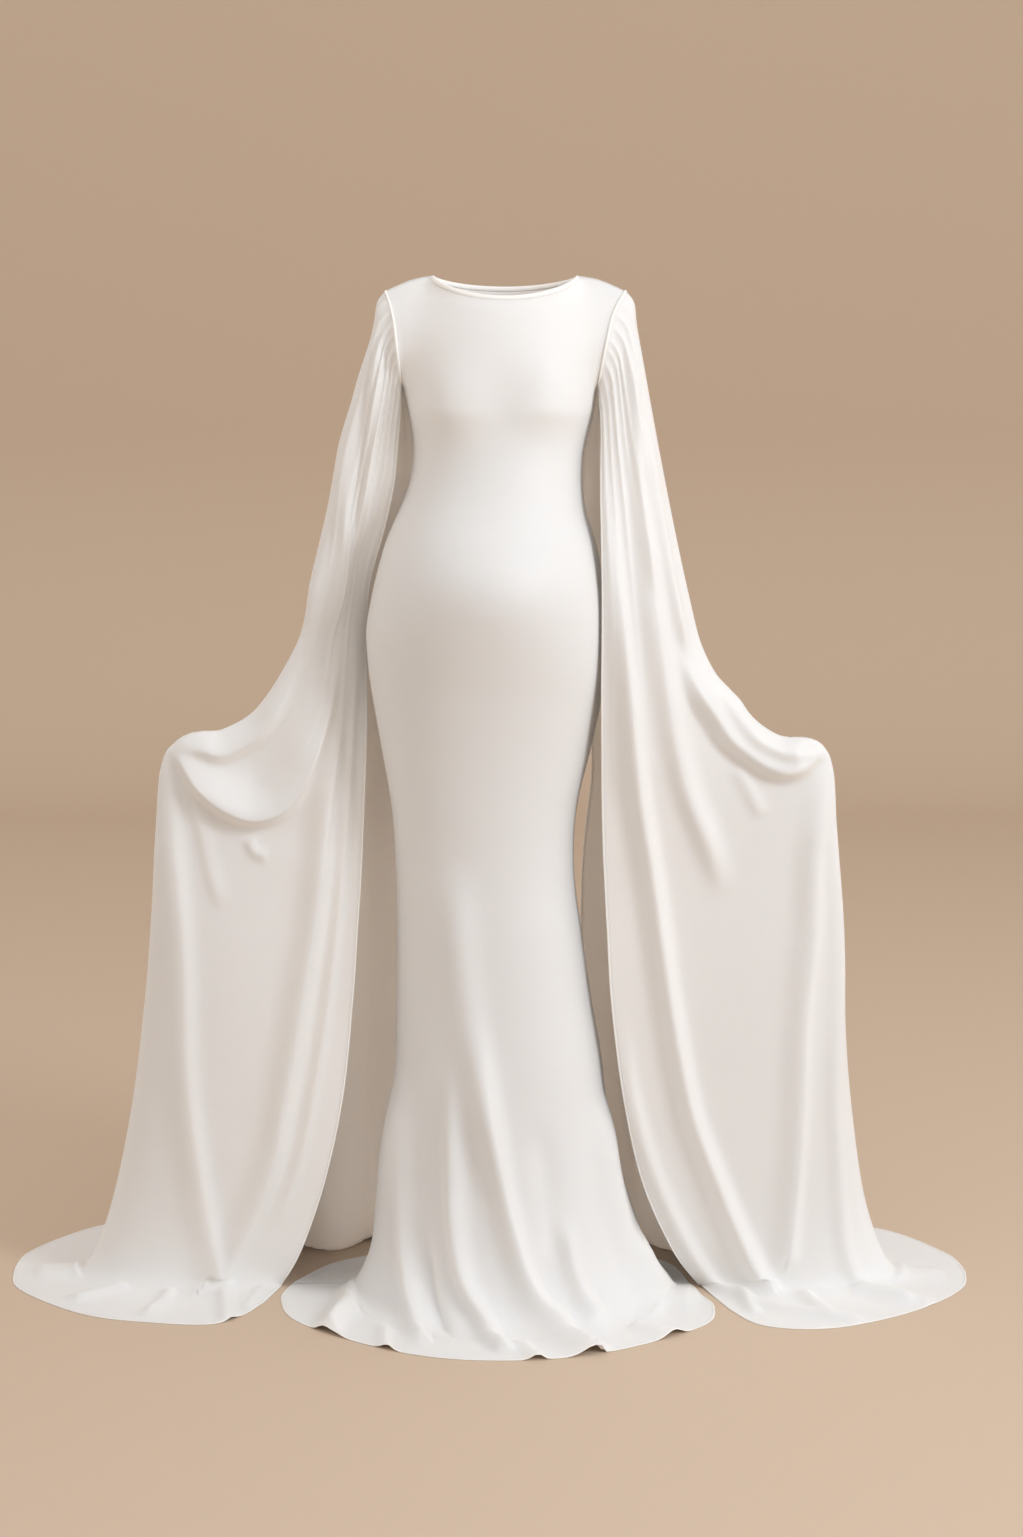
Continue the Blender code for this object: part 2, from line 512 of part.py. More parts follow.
def cloth_wall(name, outer, normals, facing):
    """Close a grid of cloth into a thin wall. Both faces are split along the same diagonals."""
    rows, columns = outer.shape[:2]
    vertices = np.concatenate([outer.reshape(-1, 3), (outer - normals * WALL).reshape(-1, 3)])
    behind = rows * columns
    faces = []

    def at(row, column):
        return row * columns + column

    for row in range(rows - 1):
        for column in range(columns - 1):
            first, second = at(row, column), at(row + 1, column)
            third, fourth = at(row + 1, column + 1), at(row, column + 1)
            falling = np.linalg.norm(vertices[first] - vertices[third])
            rising = np.linalg.norm(vertices[second] - vertices[fourth])
            halves = ((first, second, third), (first, third, fourth))
            if rising < falling:
                halves = ((first, second, fourth), (second, third, fourth))
            for half in halves:
                faces.append(half[::-facing])
                faces.append(tuple(behind + corner for corner in half)[::facing])
    border = [at(0, column) for column in range(columns - 1)]
    border += [at(row, columns - 1) for row in range(rows - 1)]
    border += [at(rows - 1, column) for column in range(columns - 1, 0, -1)]
    border += [at(row, 0) for row in range(rows - 1, 0, -1)]
    for place, corner in enumerate(border):
        following = border[(place + 1) % len(border)]
        strip = (corner, following, behind + following, behind + corner)
        faces.append(strip[::-facing])
    return add_solid(name, vertices, faces)


def neck_binding(front, front_normals, back, back_normals):
    """A closed band that carries the neck edge on by its own width."""
    neck_front = slice(SHOULDER_COLUMNS, FRONT_COLUMNS - SHOULDER_COLUMNS + 1)
    neck_back = slice(SHOULDER_COLUMNS, BACK_COLUMNS - SHOULDER_COLUMNS + 1)
    base = np.concatenate([front[0, neck_front], back[0, neck_back][::-1][1:-1]])
    normals = np.concatenate([front_normals[0, neck_front], back_normals[0, neck_back][::-1][1:-1]])
    around = unit(np.roll(base, -1, axis=0) - np.roll(base, 1, axis=0))
    inward = unit(np.cross(around, normals))
    centre = base.mean(axis=0)
    toward_centre = np.sum(inward * (centre - base), axis=1).mean()
    inward *= math.copysign(1.0, toward_centre)
    proud = (BINDING_WALL - WALL) / 2
    low = base + inward * SEAM_GAP * 2
    high = base + inward * BINDING_WIDTH
    section = [low + normals * proud, high + normals * proud,
               high - normals * (BINDING_WALL - proud), low - normals * (BINDING_WALL - proud)]
    vertices = np.concatenate(section)
    count = len(base)
    faces = []
    for corner in range(4):
        following = (corner + 1) % 4
        for place in range(count):
            beyond = (place + 1) % count
            faces.append((corner * count + place, corner * count + beyond,
                          following * count + beyond, following * count + place))
    return add_solid("neck_binding", vertices, faces)


def armhole_edge(front, back, side, inset=0):
    """Points along the armhole that carries the sleeve, from the front of the underarm to its back."""
    column = inset if side == RIGHT else -1 - inset
    rows = slice(0, ARMHOLE_ROWS + 1 - UNDERARM_ROWS)
    return np.concatenate([front[rows, column][::-1], back[rows, column][1:]])


def sleeve_wall(name, front, front_normals, back, back_normals, side):
    """A sleeve whose first row meets the armhole edge, a seam gap above and beyond it."""
    edge = armhole_edge(front, back, side)
    above = armhole_edge(front_normals, back_normals, side)
    beyond = np.cross(above, np.gradient(edge, axis=0))
    off_panel = edge - armhole_edge(front, back, side, inset=1)
    beyond = unit(beyond * np.sign(np.sum(beyond * off_panel, axis=1, keepdims=True)))
    surface = sleeve_surface(side, edge + (above + beyond) * SEAM_GAP)
    normals = grid_normals(surface, -side)
    for direction in (above, beyond):
        thickness = WALL * np.clip(np.sum(normals[0] * direction, axis=1, keepdims=True), 0.0, 1.0)
        surface[0] += direction * thickness
    cloth_wall(name, surface, normals, -side)


def build_gown():
    front = body_panel(-1, FRONT_COLUMNS, FRONT_HEM, FRONT_FOLDS, BUST + CHEST)
    back = body_panel(1, BACK_COLUMNS, BACK_HEM, BACK_FOLDS, [])
    front_normals = grid_normals(front, -1)
    back_normals = grid_normals(back, 1)
    side_rows = slice(ARMHOLE_ROWS, None)
    for column in (0, -1):
        share_normals(front_normals, (side_rows, column), back_normals, (side_rows, column))
    shoulders = (slice(None, SHOULDER_COLUMNS + 1), slice(-SHOULDER_COLUMNS - 1, None))
    for columns in shoulders:
        share_normals(front_normals, (0, columns), back_normals, (0, columns))

    for side, name in ((RIGHT, "sleeve_right"), (LEFT, "sleeve_left")):
        sleeve_wall(name, front, front_normals, back, back_normals, side)
    neck_binding(front, front_normals, back, back_normals)

    for panel in (front, back):
        pull_back(panel, side_rows, 0, 1)
        pull_back(panel, side_rows, -1, -2)
        for columns in shoulders:
            inward = unit(panel[1, columns] - panel[0, columns])
            panel[0, columns] += inward * SEAM_GAP / 2
    cloth_wall("gown_front", front, front_normals, -1)
    cloth_wall("gown_back", back, back_normals, 1)


clear_scene()
build_gown()
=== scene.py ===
"""A floor-length maternity gown of ivory stretch jersey with cape sleeves, hanging as worn.

Metres, +Z up, -Y is the front and X runs to the viewer's right. The origin is midway between the two
neck points and the floor is 1.5 m below. A drop is a distance down from the origin, and a run is the
drop carried on along the cloth where it lies on the floor.
"""
import math
from collections import namedtuple

import bpy
import numpy as np
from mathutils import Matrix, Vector


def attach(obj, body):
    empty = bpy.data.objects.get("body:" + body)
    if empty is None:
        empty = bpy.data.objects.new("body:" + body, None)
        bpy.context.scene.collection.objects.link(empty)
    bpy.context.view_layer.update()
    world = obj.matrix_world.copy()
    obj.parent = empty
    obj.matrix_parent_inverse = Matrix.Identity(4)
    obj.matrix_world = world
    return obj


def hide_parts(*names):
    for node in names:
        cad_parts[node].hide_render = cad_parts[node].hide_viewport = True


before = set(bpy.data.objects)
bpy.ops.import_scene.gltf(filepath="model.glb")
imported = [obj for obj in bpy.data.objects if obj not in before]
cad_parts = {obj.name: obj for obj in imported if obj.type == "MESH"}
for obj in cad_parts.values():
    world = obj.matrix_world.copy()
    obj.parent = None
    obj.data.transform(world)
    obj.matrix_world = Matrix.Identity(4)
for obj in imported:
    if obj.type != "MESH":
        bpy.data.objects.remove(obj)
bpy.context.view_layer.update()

# Front panel. The real one is a single piece of fine stretch jersey, cut on the fold with soft room for
# the bust and the belly, flared to a hem that lies in a pool on the floor. It is sewn to the back at the
# shoulders and sides, and its hem is narrow and rolled.
FLOOR_DROP = 1.500
JERSEY_THICKNESS = 0.0010
SHOULDER_COLUMNS = 20
FRONT_COLUMNS = 120
ARMHOLE_ROWS = 60
ROWS_PER_SECTION = 10
POOL_ROWS = 26
SECTION_ROUNDNESS = 2.1
CHEST_ROUNDNESS = 1.6
RIGHT = -1
LEFT = 1
FRONT = -1
BACK = 1

Section = namedtuple("Section", "drop centre half_width front back")
BODY = [
    Section(0.167, -0.008, 0.139, 0.118, 0.098),
    Section(0.210, -0.006, 0.131, 0.119, 0.100),
    Section(0.253, -0.010, 0.123, 0.120, 0.096),
    Section(0.296, -0.013, 0.124, 0.130, 0.090),
    Section(0.339, -0.019, 0.135, 0.150, 0.086),
    Section(0.382, -0.021, 0.151, 0.174, 0.088),
    Section(0.426, -0.023, 0.162, 0.192, 0.096),
    Section(0.469, -0.025, 0.170, 0.197, 0.108),
    Section(0.513, -0.027, 0.175, 0.190, 0.122),
    Section(0.557, -0.026, 0.174, 0.176, 0.132),
    Section(0.601, -0.026, 0.169, 0.161, 0.136),
    Section(0.690, -0.028, 0.152, 0.140, 0.128),
    Section(0.779, -0.031, 0.135, 0.128, 0.116),
    Section(0.868, -0.030, 0.131, 0.122, 0.110),
    Section(0.958, -0.024, 0.136, 0.124, 0.110),
    Section(1.049, -0.018, 0.143, 0.128, 0.112),
    Section(1.140, -0.011, 0.152, 0.134, 0.116),
    Section(1.232, -0.007, 0.160, 0.142, 0.122),
    Section(1.324, -0.001, 0.174, 0.155, 0.130),
    Section(1.417, 0.008, 0.195, 0.180, 0.142),
    Section(1.464, 0.013, 0.214, 0.205, 0.150),
    Section(1.489, 0.012, 0.230, 0.232, 0.156),
    Section(1.4984, 0.010, 0.246, 0.262, 0.166),
]

ArmholePoint = namedtuple("ArmholePoint", "out depth drop")
ARMHOLE = {
    RIGHT: [
        ArmholePoint(0.171, 0.000, 0.027), ArmholePoint(0.160, 0.030, 0.062),
        ArmholePoint(0.153, 0.048, 0.110), ArmholePoint(0.149, 0.034, 0.150),
        ArmholePoint(0.147, 0.000, 0.167),
    ],
    LEFT: [
        ArmholePoint(0.172, 0.000, 0.027), ArmholePoint(0.154, 0.030, 0.060),
        ArmholePoint(0.142, 0.048, 0.108), ArmholePoint(0.134, 0.034, 0.150),
        ArmholePoint(0.131, 0.000, 0.167),
    ],
}

NeckEdge = namedtuple("NeckEdge", "half_width point_y point_drop reach drop")
NECK = {
    FRONT: NeckEdge(0.104, 0.008, 0.005, 0.070, 0.034),
    BACK: NeckEdge(0.104, 0.008, 0.005, 0.060, 0.020),
}

SHOULDER_RISE = ((0.25, 0.0025), (0.60, 0.0040))

Reach = namedtuple("Reach", "bearing reach")
HEM = {
    FRONT: [
        Reach(180, 0.318), Reach(193, 0.340), Reach(212, 0.346), Reach(245, 0.336), Reach(270, 0.336),
        Reach(295, 0.334), Reach(325, 0.343), Reach(340, 0.326), Reach(350, 0.292), Reach(360, 0.275),
    ],
    BACK: [
        Reach(180, 0.318), Reach(162, 0.282), Reach(145, 0.244), Reach(125, 0.242), Reach(108, 0.278),
        Reach(90, 0.292), Reach(72, 0.278), Reach(55, 0.242), Reach(35, 0.246), Reach(18, 0.268),
        Reach(0, 0.275),
    ],
}

Swell = namedtuple("Swell", "x drop width rise height")
FRONT_SWELLS = [
    Swell(-0.076, 0.175, 0.052, 0.050, 0.020),
    Swell(0.062, 0.175, 0.052, 0.050, 0.020),
    Swell(-0.006, 0.080, 0.110, 0.060, 0.006),
    Swell(-0.012, 0.440, 0.085, 0.062, 0.012),
]

# A fold is a ridge along places on the cloth, each an x and a run. Its width is on the right of the way
# down and its lee on the left. Hem is the share of its height that is left at its end.
FOLD_STEPS = 6
FOLD_FADE_SHARE = 0.25
Fold = namedtuple("Fold", "places width lee height hem")
FRONT_FOLDS = [
    Fold(((-0.071, 0.832), (-0.068, 0.931), (-0.055, 1.049), (-0.033, 1.194), (-0.001, 1.322)),
         0.024, 0.03, 0.011, 0.0),
    Fold(((-0.151, 1.140), (-0.148, 1.277), (-0.146, 1.390), (-0.136, 1.466), (-0.118, 1.520)),
         0.014, 0.018, 0.016, 0.7),
    Fold(((-0.080, 1.121), (-0.077, 1.249), (-0.074, 1.361), (-0.059, 1.439), (-0.032, 1.482),
         (-0.003, 1.532)), 0.016, 0.012, 0.018, 0.8),
    Fold(((-0.040, 1.049), (-0.021, 1.194), (0.004, 1.331), (0.039, 1.443), (0.081, 1.491),
         (0.126, 1.554)), 0.012, 0.022, 0.021, 0.9),
    Fold(((0.081, 1.342), (0.094, 1.413), (0.111, 1.457), (0.135, 1.489)), 0.012, 0.012, 0.014, 0.4),
    Fold(((0.138, 1.186), (0.154, 1.313), (0.180, 1.414), (0.219, 1.490)), 0.012, 0.016, 0.016, 0.6),
    Fold(((0.180, 1.391), (0.206, 1.453), (0.236, 1.491), (0.276, 1.529)), 0.012, 0.012, 0.013, 0.6),
    Fold(((-0.158, 1.167), (-0.172, 1.323), (-0.199, 1.460), (-0.227, 1.497), (-0.246, 1.572)),
         0.014, 0.014, 0.016, 0.8),
    Fold(((-0.119, 1.363), (-0.107, 1.456), (-0.091, 1.490), (-0.075, 1.525)),
         0.01, 0.014, -0.010, 0.5),
    Fold(((0.050, 1.214), (0.064, 1.324), (0.071, 1.408)), 0.02, 0.02, -0.006, 0.0),
    Fold(((-0.215, 1.500), (-0.232, 1.535), (-0.262, 1.590)), 0.010, 0.010, 0.010, 0.8),
    Fold(((-0.170, 1.505), (-0.168, 1.560), (-0.158, 1.610)), 0.009, 0.012, 0.008, 0.6),
    Fold(((0.020, 1.500), (0.036, 1.545), (0.058, 1.600)), 0.009, 0.012, 0.009, 0.7),
    Fold(((0.180, 1.500), (0.205, 1.530), (0.246, 1.575)), 0.010, 0.010, 0.010, 0.8),
]


def unit(vectors):
    """Scale each vector of an array to length one."""
    return vectors / np.maximum(np.linalg.norm(vectors, axis=-1, keepdims=True), 1e-12)


def through(values, places):
    """Read a smooth curve that passes through each row of values at 0, 1, 2 and so on."""
    values = np.asarray(values, float)
    places = np.asarray(places, float)
    last = len(values) - 1
    index = np.clip(np.floor(places).astype(int), 0, last - 1)
    part = (places - index)[:, None]
    before = values[np.maximum(index - 1, 0)]
    start = values[index]
    end = values[index + 1]
    after = values[np.minimum(index + 2, last)]
    slope_start = (end - before) / 2
    slope_end = (after - start) / 2
    cube = part ** 3
    square = part ** 2
    return (start * (2 * cube - 3 * square + 1) + slope_start * (cube - 2 * square + part)
            + end * (3 * square - 2 * cube) + slope_end * (cube - square))


def even_steps(points, count):
    """Divide a line of points into equal lengths, with count + 1 points."""
    points = np.asarray(points, float)
    lengths = np.linalg.norm(np.diff(points, axis=0), axis=1)
    run = np.concatenate([[0.0], np.cumsum(lengths)])
    wanted = np.linspace(0.0, run[-1], count + 1)
    return np.stack([np.interp(wanted, run, points[:, axis]) for axis in range(3)], axis=1)


def smooth_line(control, count, steps=40):
    """A smooth line through the control points, divided into count equal lengths."""
    places = np.linspace(0, len(control) - 1, (len(control) - 1) * steps + 1)
    return even_steps(through(control, places), count)


def fold_lift(x, run, folds):
    """How far the folds raise the cloth at each place, given its x and its run down the cloth."""
    lift = np.zeros_like(x)
    for fold in folds:
        last = len(fold.places) - 1
        path = through(fold.places, np.linspace(0.0, last, last * FOLD_STEPS + 1))
        nearest = np.full_like(x, np.inf)
        side = np.zeros_like(x)
        at = np.zeros_like(x)
        for step in range(last * FOLD_STEPS):
            across, down = x - path[step, 0], run - path[step, 1]
            along = path[step + 1] - path[step]
            part = np.clip((across * along[0] + down * along[1]) / (along @ along), 0.0, 1.0)
            away = np.hypot(across - part * along[0], down - part * along[1])
            closer = away < nearest
            nearest = np.where(closer, away, nearest)
            side = np.where(closer, along[0] * down - along[1] * across, side)
            at = np.where(closer, (step + part) / (last * FOLD_STEPS), at)
        width = np.where(side > 0, fold.lee, fold.width)
        fade = np.minimum(1.0, at / FOLD_FADE_SHARE)
        fade = fade * np.minimum(1.0, fold.hem + (1 - at) / FOLD_FADE_SHARE)
        fade = fade * fade * (3 - 2 * fade)
        lift += fold.height * fade * np.exp(-(nearest / width) ** 2)
    return lift


def swell_lift(x, drop, swells):
    """How far the soft forms raise the cloth at each place."""
    lift = np.zeros_like(x)
    for swell in swells:
        lift += swell.height * np.exp(-((x - swell.x) / swell.width) ** 2
                                      - ((drop - swell.drop) / swell.rise) ** 2)
    return lift


def outward_of(grid, facing):
    """Outward directions of a grid of points, from the lie of its rows and columns."""
    return facing * unit(np.cross(np.gradient(grid, axis=1), np.gradient(grid, axis=0)))


def half_section(section, toward, columns):
    """One half of a body section, from the right side seam to the left one."""
    angles = np.linspace(0.0, math.pi, 241)
    power = 2.0 / SECTION_ROUNDNESS
    depth = section.front if toward == FRONT else section.back
    across = np.sign(np.cos(angles)) * np.abs(np.cos(angles)) ** power
    outline = np.stack([
        section.centre - section.half_width * across,
        toward * depth * np.abs(np.sin(angles)) ** power,
        np.full_like(angles, -section.drop),
    ], axis=1)
    return even_steps(outline, columns)


def armhole_line(side, toward):
    """The armhole seam from the underarm up to the shoulder tip, on the front or the back."""
    points = [(side * point.out, toward * point.depth, -point.drop) for point in ARMHOLE[side]]
    return smooth_line(points, ARMHOLE_ROWS)[::-1]


def neck_edge(toward, columns):
    """The panel's neck edge from the right neck point to the left one."""
    neck = NECK[toward]
    angles = np.linspace(0.0, math.pi, 121)
    line = np.stack([
        -neck.half_width * np.cos(angles),
        neck.point_y + toward * neck.reach * np.sin(angles) ** 0.9,
        -neck.point_drop - (neck.drop - neck.point_drop) * np.sin(angles) ** 1.3,
    ], axis=1)
    return even_steps(line, columns)


def shoulder_line(tip, neck_point):
    """The rounded shoulder seam from its tip to the neck point."""
    places = [tip]
    for share, rise in SHOULDER_RISE:
        places.append(tip + (neck_point - tip) * share + np.array([0.0, 0.0, rise]))
    places.append(neck_point)
    return smooth_line(places, SHOULDER_COLUMNS)


def upper_panel(toward, columns):
    """The panel above the underarms, as rows from the shoulder down, blended from its four edges."""
    bottom = half_section(BODY[0], toward, columns)
    neck = neck_edge(toward, columns - 2 * SHOULDER_COLUMNS)
    right = armhole_line(RIGHT, toward)
    left = armhole_line(LEFT, toward)
    right_shoulder = shoulder_line(right[-1], neck[0])
    left_shoulder = shoulder_line(left[-1], neck[-1])[::-1]
    top = np.concatenate([right_shoulder[:-1], neck, left_shoulder[1:]])
    up = np.linspace(0.0, 1.0, ARMHOLE_ROWS + 1)[:, None, None]
    across = np.linspace(0.0, 1.0, columns + 1)[None, :, None]
    ease = np.concatenate([up ** CHEST_ROUNDNESS, up ** CHEST_ROUNDNESS, up], axis=2)
    ruled = bottom[None] * (1 - ease) + top[None] * ease
    right_bend = right[:, None] - ruled[:, :1]
    left_bend = left[:, None] - ruled[:, -1:]
    return (ruled + right_bend * (1 - across) ** 3 + left_bend * across ** 3)[::-1]


def lay_down(contact, hem):
    """Rows of cloth on the floor, from where it comes down to its hem."""
    shares = np.linspace(0.0, 1.0, POOL_ROWS + 1)[1:, None, None]
    return contact[None] + (hem - contact)[None] * shares


def run_down(grid):
    """The run at each point of a grid whose last rows lie on the floor."""
    run = -grid[..., 2].copy()
    first = len(grid) - POOL_ROWS
    run[first:] += np.linalg.norm(grid[first:] - grid[first - 1], axis=-1)
    return run


def keep_above_floor(grid):
    """Hold the outer face of the cloth at least its own thickness above the floor."""
    grid[..., 2] = np.maximum(grid[..., 2], JERSEY_THICKNESS - FLOOR_DROP)
    return grid


def settle(grid, weights, rounds):
    """Relax the inside of a grid towards even bends, each row by its own weight. Its edges stay."""
    share = np.asarray(weights)[1:-1, None, None] * 0.25
    for turn in range(rounds):
        middle = grid[1:-1, 1:-1]
        pull = grid[:-2, 1:-1] + grid[2:, 1:-1] + grid[1:-1, :-2] + grid[1:-1, 2:] - 4 * middle
        grid[1:-1, 1:-1] = middle + pull * share
    return grid


def near_row(count, row, reach):
    """Weights for count rows that are one at a row and ease to nothing a reach away from it."""
    away = np.clip(np.abs(np.arange(count) - row) / reach, 0.0, 1.0)
    return (1 - away * away * (3 - 2 * away))


def body_panel(toward, columns, folds, swells):
    """The outer face of the front or the back, as rows of points from shoulder to hem."""
    upper = upper_panel(toward, columns)
    places = np.linspace(0, len(BODY) - 1, (len(BODY) - 1) * ROWS_PER_SECTION + 1)
    sections = [Section(*row) for row in through(BODY, places)]
    lower = np.stack([half_section(section, toward, columns) for section in sections])
    hem = smooth_line([(point.reach * math.cos(math.radians(point.bearing)),
                        point.reach * math.sin(math.radians(point.bearing)),
                        JERSEY_THICKNESS - FLOOR_DROP) for point in HEM[toward]], columns)
    grid = np.concatenate([upper, lower[1:], lay_down(lower[-1], hem)])
    run = run_down(grid)
    shoulder_weights = near_row(len(grid), ARMHOLE_ROWS, 40)
    shoulder_weights[:ARMHOLE_ROWS] = 1.0
    grid = settle(grid, shoulder_weights, 900)
    grid = settle(grid, near_row(len(grid), len(grid) - POOL_ROWS, 22), 60)
    place = np.linspace(0.0, 1.0, columns + 1)
    seam_weight = np.clip(np.minimum(place, 1 - place) / 0.06, 0.0, 1.0)
    lift = fold_lift(grid[..., 0], run, folds) + swell_lift(grid[..., 0], run, swells)
    lift *= seam_weight
    lift *= np.clip(np.arange(len(grid)) / ARMHOLE_ROWS * 6, 0.0, 1.0)[:, None]
    lift[-POOL_ROWS:] = np.maximum(lift[-POOL_ROWS:], 0.0)
    return keep_above_floor(grid + outward_of(grid, toward) * lift[..., None])


def ivory_jersey():
    """Fine ivory stretch jersey: a matte satin face with tiny knitted columns down the cloth."""
    material = bpy.data.materials.new("ivory_jersey")
    material.use_nodes = True
    nodes = material.node_tree.nodes
    links = material.node_tree.links
    shader = nodes["Principled BSDF"]
    shader.inputs["Metallic"].default_value = 0.0
    shader.inputs["Sheen Weight"].default_value = 0.18
    shader.inputs["Sheen Roughness"].default_value = 0.45
    shader.inputs["Specular IOR Level"].default_value = 0.35
    shader.inputs["Subsurface Weight"].default_value = 0.60
    shader.inputs["Subsurface Radius"].default_value = (1.0, 0.85, 0.70)
    shader.inputs["Subsurface Scale"].default_value = 0.006
    cloth = nodes.new("ShaderNodeUVMap")
    cloth.uv_map = "cloth"
    tint = nodes.new("ShaderNodeTexNoise")
    tint.inputs["Scale"].default_value = 6.0
    tint.inputs["Detail"].default_value = 3.0
    links.new(cloth.outputs["UV"], tint.inputs["Vector"])
    ivory = nodes.new("ShaderNodeMix")
    ivory.data_type = "RGBA"
    ivory.inputs["A"].default_value = (0.885, 0.865, 0.838, 1.0)
    ivory.inputs["B"].default_value = (0.915, 0.900, 0.876, 1.0)
    links.new(tint.outputs["Fac"], ivory.inputs["Factor"])
    links.new(ivory.outputs["Result"], shader.inputs["Base Color"])
    gloss = nodes.new("ShaderNodeMapRange")
    gloss.inputs["To Min"].default_value = 0.50
    gloss.inputs["To Max"].default_value = 0.60
    links.new(tint.outputs["Fac"], gloss.inputs["Value"])
    links.new(gloss.outputs["Result"], shader.inputs["Roughness"])
    columns = nodes.new("ShaderNodeTexWave")
    columns.bands_direction = "X"
    columns.inputs["Scale"].default_value = 400.0
    columns.inputs["Distortion"].default_value = 0.6
    links.new(cloth.outputs["UV"], columns.inputs["Vector"])
    relief = nodes.new("ShaderNodeBump")
    relief.inputs["Strength"].default_value = 0.12
    relief.inputs["Distance"].default_value = 0.0002
    links.new(columns.outputs["Fac"], relief.inputs["Height"])
    links.new(relief.outputs["Normal"], shader.inputs["Normal"])
    return material


JERSEY = ivory_jersey()


def sewn_mesh(name, vertices, faces, material):
    """Link a mesh object with its material, shaded smooth."""
    mesh = bpy.data.meshes.new(name)
    mesh.from_pydata([tuple(point) for point in vertices], [], faces)
    mesh.update()
    mesh.shade_smooth()
    mesh.materials.append(material)
    piece = bpy.data.objects.new(name, mesh)
    bpy.context.scene.collection.objects.link(piece)
    return piece


def cloth_shell(name, outer, outward, facing):
    """A thin closed shell of jersey from the grid of its outer face."""
    rows, columns = outer.shape[:2]
    inner = outer - outward * JERSEY_THICKNESS
    vertices = np.concatenate([outer.reshape(-1, 3), inner.reshape(-1, 3)])
    behind = rows * columns
    numbers = np.arange(behind).reshape(rows, columns)
    quads = np.stack([numbers[:-1, :-1], numbers[1:, :-1], numbers[1:, 1:], numbers[:-1, 1:]], axis=-1)
    quads = quads.reshape(-1, 4)
    faces = quads[:, ::-facing].tolist() + (quads[:, ::facing] + behind).tolist()
    border = np.concatenate([numbers[0, :-1], numbers[:-1, -1], numbers[-1, :0:-1], numbers[:0:-1, 0]])
    following = np.roll(border, -1)
    strip = np.stack([border, following, following + behind, border + behind], axis=-1)
    faces += strip[:, ::-facing].tolist()
    piece = sewn_mesh(name, vertices, faces, JERSEY)
    across = np.concatenate([np.zeros((rows, 1)), np.cumsum(
        np.linalg.norm(np.diff(outer, axis=1), axis=-1), axis=1)], axis=1)
    down = np.concatenate([np.zeros((1, columns)), np.cumsum(
        np.linalg.norm(np.diff(outer, axis=0), axis=-1), axis=0)], axis=0)
    flat = np.stack([across, down], axis=-1).reshape(-1, 2)
    flat = np.concatenate([flat, flat])
    layer = piece.data.uv_layers.new(name="cloth")
    corners = np.empty(len(piece.data.loops), dtype=np.int32)
    piece.data.loops.foreach_get("vertex_index", corners)
    layer.data.foreach_set("uv", flat[corners].astype(np.float32).ravel())
    return piece


front = body_panel(FRONT, FRONT_COLUMNS, FRONT_FOLDS, FRONT_SWELLS)
front_outward = outward_of(front, FRONT)
front_cloth = cloth_shell("front_cloth", front, front_outward, FRONT)
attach(front_cloth, "root")
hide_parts("gown_front")

# Back panel. The real one is one piece of the same jersey, cut a little narrower and without the room
# for the belly, and sewn to the front at the shoulders and sides.
BACK_COLUMNS = 100
BACK_FOLDS = [
    Fold(((-0.040, 0.760), (-0.058, 1.080), (-0.070, 1.600)), 0.022, 0.022, 0.019, 0.8),
    Fold(((0.046, 0.800), (0.052, 1.120), (0.064, 1.600)), 0.022, 0.022, 0.019, 0.8),
    Fold(((0.000, 0.980), (-0.002, 1.260), (-0.004, 1.600)), 0.020, 0.020, 0.016, 0.7),
    Fold(((-0.105, 1.020), (-0.120, 1.280), (-0.140, 1.540)), 0.020, 0.020, 0.016, 0.6),
    Fold(((0.100, 1.040), (0.118, 1.290), (0.142, 1.540)), 0.020, 0.020, 0.016, 0.6),
]

back = body_panel(BACK, BACK_COLUMNS, BACK_FOLDS, [])
back_outward = outward_of(back, BACK)
back_cloth = cloth_shell("back_cloth", back, back_outward, BACK)
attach(back_cloth, "root")
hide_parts("gown_back")

# Seams and hem of the dress. The panels are joined by narrow overlocked seams at the shoulders and sides,
# and the hem is rolled and held by one row of small stitches a few millimetres in from its edge.
ROLL_POINTS = 8
SEAM_HALF_WIDTH = 0.0007
SEAM_HALF_HEIGHT = 0.0004
HEM_HALF_WIDTH = 0.0018
HEM_HALF_HEIGHT = 0.0011
STITCH_HALF_LENGTH = 0.0012
STITCH_HALF_WIDTH = 0.00028
STITCH_SPACING = 0.0036
STITCH_INSET = 0.0045


